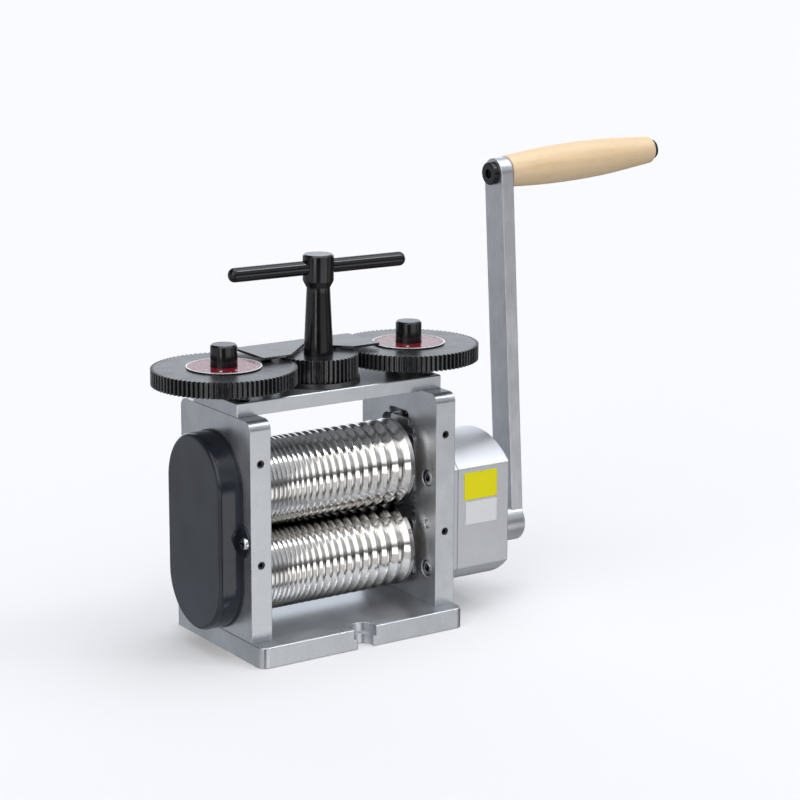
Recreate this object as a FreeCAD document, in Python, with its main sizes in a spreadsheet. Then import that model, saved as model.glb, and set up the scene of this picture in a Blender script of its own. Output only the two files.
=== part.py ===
import FreeCAD, Part
import Sketcher
import math
import os
import re
from FreeCAD import Placement, Rotation, Vector

# Jewellers rolling mill, hand cranked, grooved wire rolls.
# Frame: X runs along the rolls with the crank on +X, -Y is the operator's
# side, +Z is up, the origin is the centre of the base plate's underside.
# Millimetres throughout.

os.makedirs("parts", exist_ok=True)
doc = FreeCAD.newDocument("rolling_mill")

# ---------------------------------------------------------------- dimensions
DIMS = [
    # base plate
    ("half_width", 75.0), ("base_half_depth", 54.0), ("base_thick", 13.0),
    ("base_corner", 5.5), ("base_edge", 0.5),
    ("bench_bolt_back", 51.0), ("bench_bolt_bore", 6.5),
    ("bench_bolt_cbore", 8.6), ("bench_bolt_cdeep", 6.5),
    # side plates
    ("plate_thick", 14.3), ("plate_inner", 60.7), ("plate_half_depth", 42.4),
    ("plate_top", 151.5), ("plate_corner", 6.0), ("plate_mid", 67.85),
    ("window_half", 19.0), ("window_floor", 27.4), ("window_roof", 130.0),
    ("window_corner", 6.0), ("relief_half", 10.8), ("relief_roof", 134.6),
    ("relief_corner", 2.5), ("seat_edge", 0.3), ("dowel_edge", 0.5),
    ("stem_bore", 5.3), ("plate_screw_back", 28.0),
    ("oil_high", 125.1), ("oil_low", 61.7), ("grub_radius", 2.5),
    ("grub_long", 6.0), ("oil_radius", 1.0), ("grub_sunk", 0.8),
    # top plate
    ("yoke_half_width", 74.8), ("yoke_half_depth", 27.0), ("yoke_top", 160.3),
    ("yoke_edge", 0.6), ("yoke_screw_back", 21.0),
    # rolls
    ("roll_radius", 27.4), ("roll_half", 56.2), ("low_axis", 46.4),
    ("high_axis", 101.5), ("collar_radius", 17.0), ("collar_end", 57.2),
    ("journal_radius", 12.0), ("gear_seat_radius", 8.0),
    ("land_round", 0.25), ("roll_chamfer", 1.2),
    # bearing blocks, bushes and thrust washers
    ("block_half", 18.95), ("block_high", 38.0), ("block_outer", 74.9),
    ("block_inner", 59.6), ("block_corner", 3.5),
    ("bush_outer", 15.0), ("washer_radius", 18.0), ("washer_inner", 57.25),
    ("washer_outer", 59.55), ("fit", 0.05),
    ("spring_back", 11.0), ("spring_seat_radius", 4.6), ("spring_seat_deep", 3.0),
    ("spring_coil", 3.4), ("spring_wire", 0.55), ("spring_turns", 6.0),
    # screwdown
    ("screw_out", 68.0), ("stem_radius", 5.0), ("stem_tip", 129.95),
    ("pad_half_y", 10.0), ("pad_half_x", 6.6), ("pad_top", 129.9),
    ("wing_half", 16.5), ("wing_top", 125.2), ("wing_corner", 4.5),
    ("pad_corner", 2.0),
    ("post_radius", 8.35), ("post_low", 161.5), ("post_top", 191.5),
    ("post_chamfer", 1.0), ("key_half", 2.0), ("key_in", 6.6), ("key_out", 10.1),
    ("key_low", 163.0), ("key_top", 172.0),
    ("fine_module", 1.0), ("fine_teeth_big", 88.0), ("fine_teeth_small", 48.0),
    ("fine_tip_big", 44.85), ("fine_tip_small", 24.85),
    ("gear_low", 167.2), ("gear_top", 177.2), ("hub_radius", 15.0),
    ("hub_low", 160.8), ("pinion_low", 163.7), ("pinion_top", 178.0),
    ("collar_ring_radius", 26.0), ("collar_ring_top", 163.6),
    ("dial_radius", 23.4), ("dial_top", 178.0),
    # centre stud and T handle
    ("stud_radius", 6.0), ("stud_thread", 5.0), ("stud_low", 152.0),
    ("stud_top", 172.4), ("stud_groove", 5.3), ("ring_low", 170.7),
    ("ring_top", 171.7), ("ring_outer", 8.0), ("pinion_cbore", 9.0),
    ("pinion_cbore_low", 170.5), ("spigot_low", 172.9),
    ("column_base", 9.4), ("column_neck", 7.4), ("neck_height", 219.9),
    ("head_low", 224.5), ("head_radius", 9.8), ("head_chamfer", 1.0),
    ("head_top", 240.8), ("bar_radius", 4.5), ("bar_height", 232.7),
    ("bar_half", 62.6), ("bar_turn", -2.0),
    # index plate
    ("index_half", 42.5), ("index_front", 4.5), ("index_back", 31.8),
    ("index_low", 179.2), ("index_top", 180.7), ("index_notch_half", 22.9),
    ("index_notch_apex", 18.4), ("pillar_out", 24.0), ("pillar_back", 23.0),
    ("pillar_radius", 3.5), ("pillar_stub", 2.0),
    # coupling gears between the rolls, under the left cover
    ("mate_teeth", 16.0), ("mate_tip", 30.4), ("mate_root", 24.4),
    ("mate_backlash", 0.3), ("mate_in", 77.0), ("mate_out", 86.0),
    ("mate_ring_out", 87.2), ("mate_shaft_end", 88.2), ("mate_groove", 7.2),
    ("mate_ring_radius", 11.0), ("mate_key_half", 2.5), ("mate_key_in", 5.5),
    ("mate_key_out", 10.0),
    # left gear cover
    ("cover_half", 33.0), ("cover_wall", 1.5), ("cover_out", 91.0),
    ("cover_low_arc", 47.2), ("cover_high_arc", 105.2), ("cover_round", 3.0),
    ("ear_radius", 10.4), ("ear_centre", 31.8), ("ear_thick", 1.4),
    ("ear_height", 76.1), ("ear_screw", 38.0), ("scoop_radius", 17.5),
    ("scoop_back", 47.5), ("scoop_out", 72.0), ("pan_radius", 4.0), ("pan_high", 2.4),
    # reduction gearbox on the right
    ("box_centre", 65.5), ("box_radius", 48.9), ("box_flat", 36.0),
    ("box_wall", 2.5), ("flange_out", 82.5), ("box_out", 123.0),
    ("box_end_wall", 3.0), ("box_round", 0.9), ("box_seam", 0.35), ("lay_axis", 84.65),
    ("box_screw_y", 32.4), ("box_screw_high", 95.7), ("box_screw_low", 36.0),
    ("box_screw_radius", 3.0), ("box_head_radius", 5.0), ("box_head_high", 6.0),
    ("box_post_radius", 5.2), ("dowel_radius", 2.5), ("dowel_height", 65.5),
    ("coarse_module", 1.5), ("coarse_big", 34.0), ("coarse_small", 17.0),
    ("coarse_backlash", 0.18), ("out_gear_in", 86.0), ("out_gear_out", 96.5),
    ("out_shaft_radius", 9.0), ("out_shaft_end", 98.6), ("spigot_bore", 4.05),
    ("out_shoulder", 11.0), ("out_groove", 8.2), ("out_ring_radius", 11.6), ("out_ring_thick", 1.0),
    ("spigot_bore_in", 88.5), ("spigot_radius", 4.0), ("spigot_in", 89.5),
    ("input_radius", 7.5), ("input_in", 99.5), ("input_gear_in", 102.5),
    ("input_gear_out", 114.8), ("input_end", 154.2),
    ("lay_pin", 6.0), ("lay_in", 76.4), ("lay_pinion_in", 82.9),
    ("lay_pinion_out", 97.4), ("lay_wheel_in", 103.5), ("lay_wheel_out", 114.0),
    ("lay_seat", 7.0), ("lay_out", 120.5), ("bush_wall", 2.0),
    # crank
    ("arm_inner", 145.7), ("arm_thick", 9.5), ("arm_half", 9.6),
    ("arm_long", 235.3), ("arm_lean", 3.0), ("boss_radius", 13.5),
    ("boss_in", 124.5), ("boss_out", 154.2), ("set_screw_x", 133.0),
    ("set_screw_radius", 3.0),
    ("bolt_radius", 5.0), ("bolt_head_radius", 7.4), ("bolt_head_high", 4.0),
    ("grip_gap", 0.4), ("grip_long", 120.0), ("grip_start", 10.1),
    ("grip_belly", 12.6), ("grip_end", 8.9), ("cap_radius", 6.9),
    ("cap_long", 4.1), ("nut_deep", 2.8),
    # plain foils on the gearbox's front flat
    ("foil_thick", 0.25),
]
sheet = doc.addObject("Spreadsheet::Sheet", "Dims")
for row, (alias, value) in enumerate(DIMS, start=1):
    sheet.set("A%d" % row, alias)
    sheet.set("B%d" % row, repr(value))
    sheet.setAlias("B%d" % row, alias)
doc.recompute()

# V grooves of the wire rolls, from the crank end to the left:
# (left edge of the groove, width of the groove), millimetres along X.
GROOVES = [
    (44.90, 6.90), (35.55, 6.70), (28.10, 5.60), (21.25, 5.05), (14.75, 4.75),
    (8.55, 4.45), (2.85, 4.05), (-2.55, 3.80), (-7.70, 3.60), (-12.85, 3.60),
    (-17.70, 3.30), (-22.40, 3.15), (-26.55, 2.70), (-30.20, 2.25),
    (-33.85, 2.20), (-37.35, 2.05), (-40.75, 1.95), (-44.05, 1.85),
    (-47.20, 1.70), (-50.20, 1.55), (-53.05, 1.40),
]


def dim(alias):
    return float(sheet.get(alias))


def num(text):
    """Value of a sum of sheet words and numbers, each with * or / numbers."""
    total = 0.0
    for sign, term in re.findall(r"([+-]?)\s*([^+-]+)", text):
        pieces = [p.strip() for p in re.split(r"([*/])", term.strip())]
        value = None
        mark = "*"
        for piece in pieces:
            if piece in "*/":
                mark = piece
                continue
            one = float(piece) if piece[0] in "0123456789." else dim(piece)
            if value is None:
                value = one
            elif mark == "*":
                value *= one
            else:
                value /= one
        total += -value if sign == "-" else value
    return total


def ex(text):
    """The same sum as a FreeCAD expression on the sheet."""
    return re.sub(r"[a-z][a-z_]*[a-z]", lambda m: "Dims." + m.group(0), text)


TURN = {
    "z": Rotation(),
    "x": Rotation(Vector(0, 1, 0), 90),
    "y": Rotation(Vector(1, 0, 0), -90),
}
LYING = Rotation(Vector(1, 1, 1), 120)       # local Z to X, X to Y, Y to Z

NODES = {}


def node(label, obj):
    obj.Label = label
    NODES[label] = obj
    return obj


def place(obj, at):
    for axis, text in zip("xyz", at):
        obj.setExpression("Placement.Base." + axis, ex(text))


def cyl(name, radius, height, at, axis="z"):
    obj = doc.addObject("Part::Cylinder", name)
    obj.setExpression("Radius", ex(radius))
    obj.setExpression("Height", ex(height))
    obj.Placement = Placement(Vector(), TURN[axis])
    place(obj, at)
    return obj


def box(name, length, width, height, at):
    obj = doc.addObject("Part::Box", name)
    obj.setExpression("Length", ex(length))
    obj.setExpression("Width", ex(width))
    obj.setExpression("Height", ex(height))
    place(obj, at)
    return obj


def fuse(name, *shapes):
    obj = doc.addObject("Part::MultiFuse", name)
    obj.Shapes = list(shapes)
    obj.Refine = True
    return obj


def cut(name, base, *tools):
    obj = doc.addObject("Part::Cut", name)
    obj.Base = base
    obj.Tool = tools[0] if len(tools) == 1 else fuse(name + "_tools", *tools)
    obj.Refine = True
    return obj


def common(name, one, two):
    obj = doc.addObject("Part::Common", name)
    obj.Base = one
    obj.Tool = two
    return obj


def group(name, *shapes):
    obj = doc.addObject("Part::Compound", name)
    obj.Links = list(shapes)
    return obj


def fillet(name, base, radius, wanted):
    """Round the edges of base for which wanted(edge) holds."""
    doc.recompute()
    obj = doc.addObject("Part::Fillet", name)
    obj.Base = base
    picked = [i for i, e in enumerate(base.Shape.Edges, start=1) if wanted(e)]
    obj.Edges = [(i, radius, radius) for i in picked]
    return obj


def feature(name, shape, at=None, turn=None):
    obj = doc.addObject("Part::Feature", name)
    obj.Shape = shape
    if at is not None:
        obj.Placement = Placement(at, turn if turn else Rotation())
    return obj


# ------------------------------------------------------- PartDesign helpers
def new_body(name):
    return doc.addObject("PartDesign::Body", name)


def origin_plane(body, role):
    return [f for f in body.Origin.OriginFeatures if f.Role == role][0]


def new_sketch(body, name, role, lift=None):
    sk = body.newObject("Sketcher::SketchObject", name)
    sk.AttachmentSupport = [(origin_plane(body, role), "")]
    sk.MapMode = "FlatFace"
    if lift is not None:
        sk.setExpression("AttachmentOffset.Base.z", ex(lift))
    return sk


def pin_point(sk, geo, pos, x_text, y_text):
    for kind, text, axis in (("DistanceX", x_text, -2), ("DistanceY", y_text, -1)):
        value = num(text)
        if abs(value) < 1e-9:
            sk.addConstraint(Sketcher.Constraint("PointOnObject", geo, pos, axis))
        else:
            i = sk.addConstraint(
                Sketcher.Constraint(kind, -1, 1, geo, pos, value))
            sk.setExpression("Constraints[%d]" % i, ex(text))


def outline(sk, points):
    """A closed polyline through points given as pairs of sheet sums."""
    first = sk.GeometryCount
    n = len(points)
    flat = [Vector(num(a), num(b), 0) for a, b in points]
    for i in range(n):
        sk.addGeometry(Part.LineSegment(flat[i], flat[(i + 1) % n]), False)
    for i in range(n):
        sk.addConstraint(Sketcher.Constraint(
            "Coincident", first + i, 2, first + (i + 1) % n, 1))
    for i, (a, b) in enumerate(points):
        pin_point(sk, first + i, 1, a, b)


def rings(sk, circles):
    """Circles given as (x, y, radius) sums."""
    for a, b, r in circles:
        geo = sk.addGeometry(Part.Circle(
            Vector(num(a), num(b), 0), Vector(0, 0, 1), num(r)), False)
        pin_point(sk, geo, 3, a, b)
        i = sk.addConstraint(Sketcher.Constraint("Radius", geo, num(r)))
        sk.setExpression("Constraints[%d]" % i, ex(r))


def pad(body, name, sk, length, mid=False, back=False):
    f = body.newObject("PartDesign::Pad", name)
    f.Profile = sk
    f.setExpression("Length", ex(length))
    if mid:
        f.SideType = "Symmetric"
    f.Reversed = back
    body.Tip = f
    return f


def pocket(body, name, sk, depth=None, back=False):
    """Cut a sketch; the volume has to drop or the direction is wrong."""
    doc.recompute()
    before = body.Shape.Volume
    f = body.newObject("PartDesign::Pocket", name)
    f.Profile = sk
    if depth is None:
        f.Type = "ThroughAll"
    else:
        f.setExpression("Length", ex(depth))
    f.Reversed = back
    body.Tip = f
    doc.recompute()
    if body.Shape.Volume >= before - 1e-3:
        raise RuntimeError("%s cuts nothing" % name)
    return f


def pd_fillet(body, name, radius_text, wanted, kind="PartDesign::Fillet"):
    doc.recompute()
    base = body.Tip
    picked = ["Edge%d" % i for i, e in enumerate(base.Shape.Edges, start=1)
              if wanted(e)]
    f = body.newObject(kind, name)
    f.Base = (base, picked)
    f.setExpression("Radius" if kind.endswith("Fillet") else "Size",
                    ex(radius_text))
    body.Tip = f
    return f


def turned(label, points, name=None):
    """A revolved body about Z from (radius, height) points."""
    body = new_body(name or label + "_body")
    sk = new_sketch(body, label + "_profile", "XZ_Plane")
    outline(sk, points)
    f = body.newObject("PartDesign::Revolution", label + "_turn")
    f.Profile = sk
    f.ReferenceAxis = (sk, ["V_Axis"])
    f.Angle = 360
    body.Tip = f
    return body


def near(a, b, eps=1e-3):
    return abs(a - b) < eps


def is_line_along(edge, axis):
    if not isinstance(edge.Curve, (Part.Line, Part.LineSegment)):
        return False
    d = edge.Vertexes[-1].Point - edge.Vertexes[0].Point
    return near(abs(getattr(d, axis)), d.Length) and d.Length > 1e-6


# ---------------------------------------------------------------- gear teeth
def gear_wire(module, teeth, tip, root, thin, turn_deg, samples=4):
    """Closed involute outline in the XY plane, a tooth centred on turn_deg."""
    alpha = math.radians(20.0)
    pitch = module * teeth / 2.0
    base = pitch * math.cos(alpha)
    inv = math.tan(alpha) - alpha
    half = (math.pi * module / 2.0 - thin) / (2.0 * pitch)
    start = max(base, root)

    def half_angle(r):
        if r <= base:
            return half + inv
        a = math.acos(base / r)
        return half + inv - (math.tan(a) - a)

    flank = [start + (tip - start) * i / (samples - 1) for i in range(samples)]
    if root < base - 1e-6:
        flank = [root] + flank
    points = []
    for k in range(int(teeth)):
        mid = math.radians(turn_deg) + 2 * math.pi * k / teeth
        for r in flank:
            a = mid - half_angle(r)
            points.append(Vector(r * math.cos(a), r * math.sin(a), 0))
        for r in reversed(flank):
            a = mid + half_angle(r)
            points.append(Vector(r * math.cos(a), r * math.sin(a), 0))
    points.append(points[0])
    return Part.makePolygon(points)


def gear_disc(module, teeth, tip, root, thin, turn_deg, width, samples=4):
    wire = gear_wire(module, teeth, tip, root, thin, turn_deg, samples)
    return Part.Face(wire).extrude(Vector(0, 0, width))


# ================================================================= BASE PLATE
body = new_body("base_plate_body")
sk = new_sketch(body, "base_outline", "XY_Plane")
outline(sk, [("-half_width", "-base_half_depth"), ("half_width", "-base_half_depth"),
             ("half_width", "base_half_depth"), ("-half_width", "base_half_depth")])
pad(body, "base_slab", sk, "base_thick")
pd_fillet(body, "base_corners", "base_corner", lambda e: is_line_along(e, "z"))
pd_fillet(body, "base_top_edge", "base_edge",
          lambda e: near(e.BoundBox.ZMin, dim("base_thick"))
          and near(e.BoundBox.ZMax, dim("base_thick")), "PartDesign::Chamfer")
sk = new_sketch(body, "bench_bolt_bores", "XY_Plane")
rings(sk, [("0", "-bench_bolt_back", "bench_bolt_bore"),
           ("0", "bench_bolt_back", "bench_bolt_bore")])
pocket(body, "bench_bolt_holes", sk, None, True)
sk = new_sketch(body, "bench_bolt_seats", "XY_Plane", "base_thick")
rings(sk, [("0", "-bench_bolt_back", "bench_bolt_cbore"),
           ("0", "bench_bolt_back", "bench_bolt_cbore")])
pocket(body, "bench_bolt_cbores", sk, "bench_bolt_cdeep")
sk = new_sketch(body, "frame_screw_bores", "XY_Plane")
rings(sk, [(a + "plate_mid", b + "plate_screw_back", "box_screw_radius + 0.3")
           for a in ("", "-") for b in ("", "-")])
pocket(body, "frame_screw_holes", sk, None, True)
sk = new_sketch(body, "frame_screw_seats", "XY_Plane")
rings(sk, [(a + "plate_mid", b + "plate_screw_back", "box_head_radius + 0.4")
           for a in ("", "-") for b in ("", "-")])
pocket(body, "frame_screw_cbores", sk, "box_head_high + 0.6", True)
node("base_plate", body)


# ================================================================ SIDE PLATES
def side_plate(label, side):
    """side +1 is the crank side. The slab is drawn on the YZ plane."""
    body = new_body(label + "_body")
    lift = "plate_inner" if side > 0 else "-half_width"
    sk = new_sketch(body, label + "_outline", "YZ_Plane", lift)
    outline(sk, [("-plate_half_depth", "base_thick"), ("plate_half_depth", "base_thick"),
                 ("plate_half_depth", "plate_top"), ("-plate_half_depth", "plate_top")])
    pad(body, label + "_slab", sk, "plate_thick")
    pd_fillet(body, label + "_corners", "plate_corner",
              lambda e: is_line_along(e, "x") and near(e.BoundBox.ZMin, dim("plate_top")))
    sk = new_sketch(body, label + "_window", "YZ_Plane", lift)
    outline(sk, [("-window_half", "window_floor"), ("window_half", "window_floor"),
                 ("window_half", "window_roof"), ("relief_half", "window_roof"),
                 ("relief_half", "relief_roof"), ("-relief_half", "relief_roof"),
                 ("-relief_half", "window_roof"), ("-window_half", "window_roof")])
    pocket(body, label + "_opening", sk, "plate_thick", True)
    pd_fillet(body, label + "_window_corners", "window_corner",
              lambda e: is_line_along(e, "x") and near(e.BoundBox.ZMin, dim("window_roof"))
              and near(abs(e.BoundBox.YMin + e.BoundBox.YMax) / 2, dim("window_half")))
    pd_fillet(body, label + "_relief_corners", "relief_corner",
              lambda e: is_line_along(e, "x") and near(e.BoundBox.ZMin, dim("relief_roof")))
    # bore for the screw stem, and tapped holes for the top plate's screws
    mid = "plate_mid" if side > 0 else "-plate_mid"
    out = "screw_out" if side > 0 else "-screw_out"
    sk = new_sketch(body, label + "_stem", "XY_Plane", "plate_top")
    rings(sk, [(out, "0", "stem_bore")])
    pocket(body, label + "_stem_bore", sk, "plate_top - relief_roof + 2")
    sk = new_sketch(body, label + "_taps", "XY_Plane", "plate_top")
    rings(sk, [(mid, "yoke_screw_back", "grub_radius"),
               (mid, "-yoke_screw_back", "grub_radius")])
    pocket(body, label + "_top_taps", sk, "12")
    sk = new_sketch(body, label + "_foot", "XY_Plane", "base_thick")
    rings(sk, [(mid, "plate_screw_back", "box_screw_radius"),
               (mid, "-plate_screw_back", "box_screw_radius")])
    pocket(body, label + "_foot_taps", sk, "13", True)
    # oil ways in the front edge: a tapped mouth and a thin drilling behind it
    sk = new_sketch(body, label + "_oil", "XZ_Plane", "plate_half_depth")
    rings(sk, [(mid, "oil_high", "grub_radius"), (mid, "oil_low", "grub_radius")])
    pocket(body, label + "_oil_mouths", sk, "grub_long + grub_sunk")
    sk = new_sketch(body, label + "_oil_small", "XZ_Plane", "plate_half_depth")
    rings(sk, [(mid, "oil_high", "oil_radius"), (mid, "oil_low", "oil_radius")])
    pocket(body, label + "_oil_ways", sk, "plate_half_depth - window_half + 1")
    if side > 0:
        ys = [("box_screw_y", h) for h in ("box_screw_high", "box_screw_low")]
        ys += [("-box_screw_y", h) for h in ("box_screw_high", "box_screw_low")]
        sk = new_sketch(body, label + "_gearbox_bores", "YZ_Plane", lift)
        rings(sk, [(y, h, "box_screw_radius + 0.2") for y, h in ys])
        pocket(body, label + "_gearbox_holes", sk, None, True)
        sk = new_sketch(body, label + "_gearbox_seats", "YZ_Plane", lift)
        rings(sk, [(y, h, "box_head_radius + 0.35") for y, h in ys])
        pocket(body, label + "_gearbox_cbores", sk, "box_head_high + 0.3", True)
        sk = new_sketch(body, label + "_dowel_bores", "YZ_Plane", lift)
        rings(sk, [(s + "box_screw_y", "dowel_height", "dowel_radius") for s in ("", "-")])
        pocket(body, label + "_dowel_holes", sk, None, True)

        def mouth(e, radius):
            return (isinstance(e.Curve, Part.Circle) and near(e.Curve.Radius, radius)
                    and near(e.BoundBox.XMin, dim("plate_inner"))
                    and near(e.BoundBox.XMax, dim("plate_inner")))

        pd_fillet(body, label + "_seat_mouths", "seat_edge",
                  lambda e: mouth(e, dim("box_head_radius") + 0.35), "PartDesign::Chamfer")
        pd_fillet(body, label + "_dowel_mouths", "dowel_edge",
                  lambda e: mouth(e, dim("dowel_radius")), "PartDesign::Chamfer")
    else:
        sk = new_sketch(body, label + "_cover_taps", "YZ_Plane", lift)
        rings(sk, [(s + "ear_screw", "ear_height", "grub_radius") for s in ("", "-")])
        pocket(body, label + "_cover_holes", sk, "10", True)
    node(label, body)


side_plate("right_side_plate", 1)
side_plate("left_side_plate", -1)

# ================================================================== TOP PLATE
body = new_body("top_plate_body")
sk = new_sketch(body, "top_outline", "XY_Plane", "plate_top")
outline(sk, [("-yoke_half_width", "-yoke_half_depth"), ("yoke_half_width", "-yoke_half_depth"),
             ("yoke_half_width", "yoke_half_depth"), ("-yoke_half_width", "yoke_half_depth")])
pad(body, "top_slab", sk, "yoke_top - plate_top")
pd_fillet(body, "top_edges", "yoke_edge",
          lambda e: near(e.BoundBox.ZMin, dim("yoke_top")) or is_line_along(e, "z"),
          "PartDesign::Chamfer")
sk = new_sketch(body, "nut_bores", "XY_Plane", "yoke_top")
rings(sk, [("screw_out", "0", "stem_radius + fit"), ("-screw_out", "0", "stem_radius + fit"),
           ("0", "0", "stud_thread"),
           ("pillar_out", "pillar_back", "pillar_stub"),
           ("-pillar_out", "pillar_back", "pillar_stub")]
      + [(a + "plate_mid", b + "yoke_screw_back", "grub_radius + 0.2")
         for a in ("", "-") for b in ("", "-")])
pocket(body, "nut_holes", sk, None)
sk = new_sketch(body, "top_screw_seats", "XY_Plane", "yoke_top")
rings(sk, [(a + "plate_mid", b + "yoke_screw_back", "4.6")
           for a in ("", "-") for b in ("", "-")])
pocket(body, "top_screw_cbores", sk, "5.4")
node("top_plate", body)


# ================================================================= FASTENERS
def cap_screw(name, head_r, head_h, shank_r, shank_l, at, socket_r, hollow):
    """Socket cap screw along +Z locally: head from 0 to head_h, shank above."""
    head = Part.makeCylinder(head_r, head_h)
    head = head.makeChamfer(0.4, [e for e in head.Edges if near(e.BoundBox.ZMax, 0)
                                  and near(e.BoundBox.ZMin, 0)])
    shank = Part.makeCylinder(shank_r, shank_l, Vector(0, 0, head_h))
    hexa = Part.Face(Part.makePolygon([Vector(
        socket_r * math.cos(math.radians(60 * i)),
        socket_r * math.sin(math.radians(60 * i)), 0) for i in range(7)]))
    return head.fuse(shank).removeSplitter().cut(hexa.extrude(Vector(0, 0, hollow)))


def set_of(name, shape, places):
    """One node holding equal solids at several placements."""
    copies = []
    for at, turn in places:
        one = shape.copy()
        one.Placement = Placement(at, turn)
        copies.append(one)
    return feature(name, Part.makeCompound(copies))


UP = Rotation()
DOWN = Rotation(Vector(1, 0, 0), 180)
PLUS_X = Rotation(Vector(0, 1, 0), 90)
PLUS_Y = Rotation(Vector(1, 0, 0), -90)

m_six = cap_screw("m_six", dim("box_head_radius"), dim("box_head_high"),
                  dim("box_screw_radius"), 18.0, None, 2.9, 3.0)
node("base_screws", set_of("base_screws_set", m_six, [
    (Vector(a * dim("plate_mid"), b * dim("plate_screw_back"), 0.6), UP)
    for a in (-1, 1) for b in (-1, 1)]))

m_five = cap_screw("m_five", 4.25, 5.0, dim("grub_radius"), 14.0, None, 2.4, 2.6)
node("top_plate_screws", set_of("top_plate_screws_set", m_five, [
    (Vector(a * dim("plate_mid"), b * dim("yoke_screw_back"), dim("yoke_top") - 0.4), DOWN)
    for a in (-1, 1) for b in (-1, 1)]))

box_screw = cap_screw("box_screw", dim("box_head_radius"), dim("box_head_high"),
                      dim("box_screw_radius"), 29.0, None, 2.9, 3.0)
node("gearbox_cap_screws", set_of("gearbox_cap_screws_set", box_screw, [
    (Vector(dim("plate_inner") + 0.3, s * dim("box_screw_y"), dim(h)), PLUS_X)
    for s in (-1, 1) for h in ("box_screw_high", "box_screw_low")]))

# oil way grub screws: a slotless socket set screw in each front edge mouth
grub = Part.makeCylinder(dim("grub_radius"), dim("grub_long"))
grub = grub.cut(Part.Face(Part.makePolygon([Vector(
    1.45 * math.cos(math.radians(60 * i)), 1.45 * math.sin(math.radians(60 * i)), 0)
    for i in range(7)])).extrude(Vector(0, 0, 2.5)))
node("oilway_grub_screws", set_of("oilway_grub_screws_set", grub, [
    (Vector(a * dim("plate_mid"), -dim("plate_half_depth") + dim("grub_sunk"), dim(h)), PLUS_Y)
    for a in (-1, 1) for h in ("oil_high", "oil_low")]))

dowel = Part.makeCylinder(dim("dowel_radius"), 18.0)
dowel = dowel.makeChamfer(0.5, [e for e in dowel.Edges if e.BoundBox.ZLength < 1e-3])
node("locating_dowels", set_of("locating_dowels_set", dowel, [
    (Vector(dim("plate_inner") + 0.6, s * dim("box_screw_y"), dim("dowel_height")), PLUS_X)
    for s in (-1, 1)]))


# ============================================================ BEARING BLOCKS
def bearing_block(label, side, axis, spring_up):
    """A square block that stands a little inside the plate, with a bush bore
    and two spring pockets."""
    x_in = "block_inner" if side > 0 else "-block_outer"
    core = box(label + "_core", "block_outer - block_inner", "block_half*2", "block_high",
               (x_in, "-block_half", axis + " - block_high/2"))
    soft = fillet(label + "_core_eased", core, dim("block_corner"),
                  lambda e: is_line_along(e, "x"))
    bore_x = "block_inner - 1" if side > 0 else "-block_outer - 1"
    bore = cyl(label + "_bore", "bush_outer", "block_outer - block_inner + 2",
               (bore_x, "0", axis), "x")
    mid = "plate_mid" if side > 0 else "-plate_mid"
    seat_z = axis + (" + block_high/2 - spring_seat_deep" if spring_up
                     else " - block_high/2 - 1")
    seats = [cyl(label + "_seat_" + tag, "spring_seat_radius", "spring_seat_deep + 1",
                 (mid, s + "spring_back", seat_z)) for tag, s in (("a", ""), ("b", "-"))]
    node(label, cut(label + "_block", soft, bore, *seats))


bearing_block("left_lower_block", -1, "low_axis", True)
bearing_block("right_lower_block", 1, "low_axis", True)
bearing_block("left_upper_block", -1, "high_axis", False)
bearing_block("right_upper_block", 1, "high_axis", False)


def bushes(label, axis):
    """A pair of bronze bushes, pressed into the blocks of one roll."""
    both = []
    for side, at in (("r", "block_inner"), ("l", "-block_outer")):
        long = "block_outer - block_inner"
        outer = cyl(label + "_outer_" + side, "bush_outer", long, (at, "0", axis), "x")
        inner = cyl(label + "_inner_" + side, "journal_radius + fit", long + " + 2",
                    (at + " - 1", "0", axis), "x")
        both.append(cut(label + "_ring_" + side, outer, inner))
    node(label, group(label + "_set", *both))


bushes("lower_bushes", "low_axis")
bushes("upper_bushes", "high_axis")


def thrust_washers(label, axis):
    both = []
    for side, at in (("r", "washer_inner"), ("l", "-washer_outer")):
        long = "washer_outer - washer_inner"
        outer = cyl(label + "_outer_" + side, "washer_radius", long, (at, "0", axis), "x")
        inner = cyl(label + "_inner_" + side, "journal_radius + fit", long + " + 2",
                    (at + " - 1", "0", axis), "x")
        both.append(cut(label + "_ring_" + side, outer, inner))
    node(label, group(label + "_set", *both))


thrust_washers("lower_thrust_washers", "low_axis")
thrust_washers("upper_thrust_washers", "high_axis")

# pressure pads between the screws and the upper blocks: a wide foot on the
# block and a tongue that reaches up into the window's relief
pads = []
for tag, at in (("r", "screw_out - pad_half_x"), ("l", "-screw_out - pad_half_x")):
    foot = box("pad_foot_" + tag, "pad_half_x*2", "wing_half*2",
               "wing_top - high_axis - block_high/2",
               (at, "-wing_half", "high_axis + block_high/2"))
    foot = fillet("pad_foot_eased_" + tag, foot, dim("wing_corner"),
                  lambda e: is_line_along(e, "x") and near(e.BoundBox.ZMin, dim("wing_top")))
    tongue = box("pad_tongue_" + tag, "pad_half_x*2", "pad_half_y*2",
                 "pad_top - high_axis - block_high/2",
                 (at, "-pad_half_y", "high_axis + block_high/2"))
    tongue = fillet("pad_tongue_eased_" + tag, tongue, dim("pad_corner"),
                    lambda e: is_line_along(e, "x") and near(e.BoundBox.ZMin, dim("pad_top")))
    pads.append(fuse("pad_" + tag, foot, tongue))
node("pressure_pads", group("pressure_pads_set", *pads))

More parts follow.
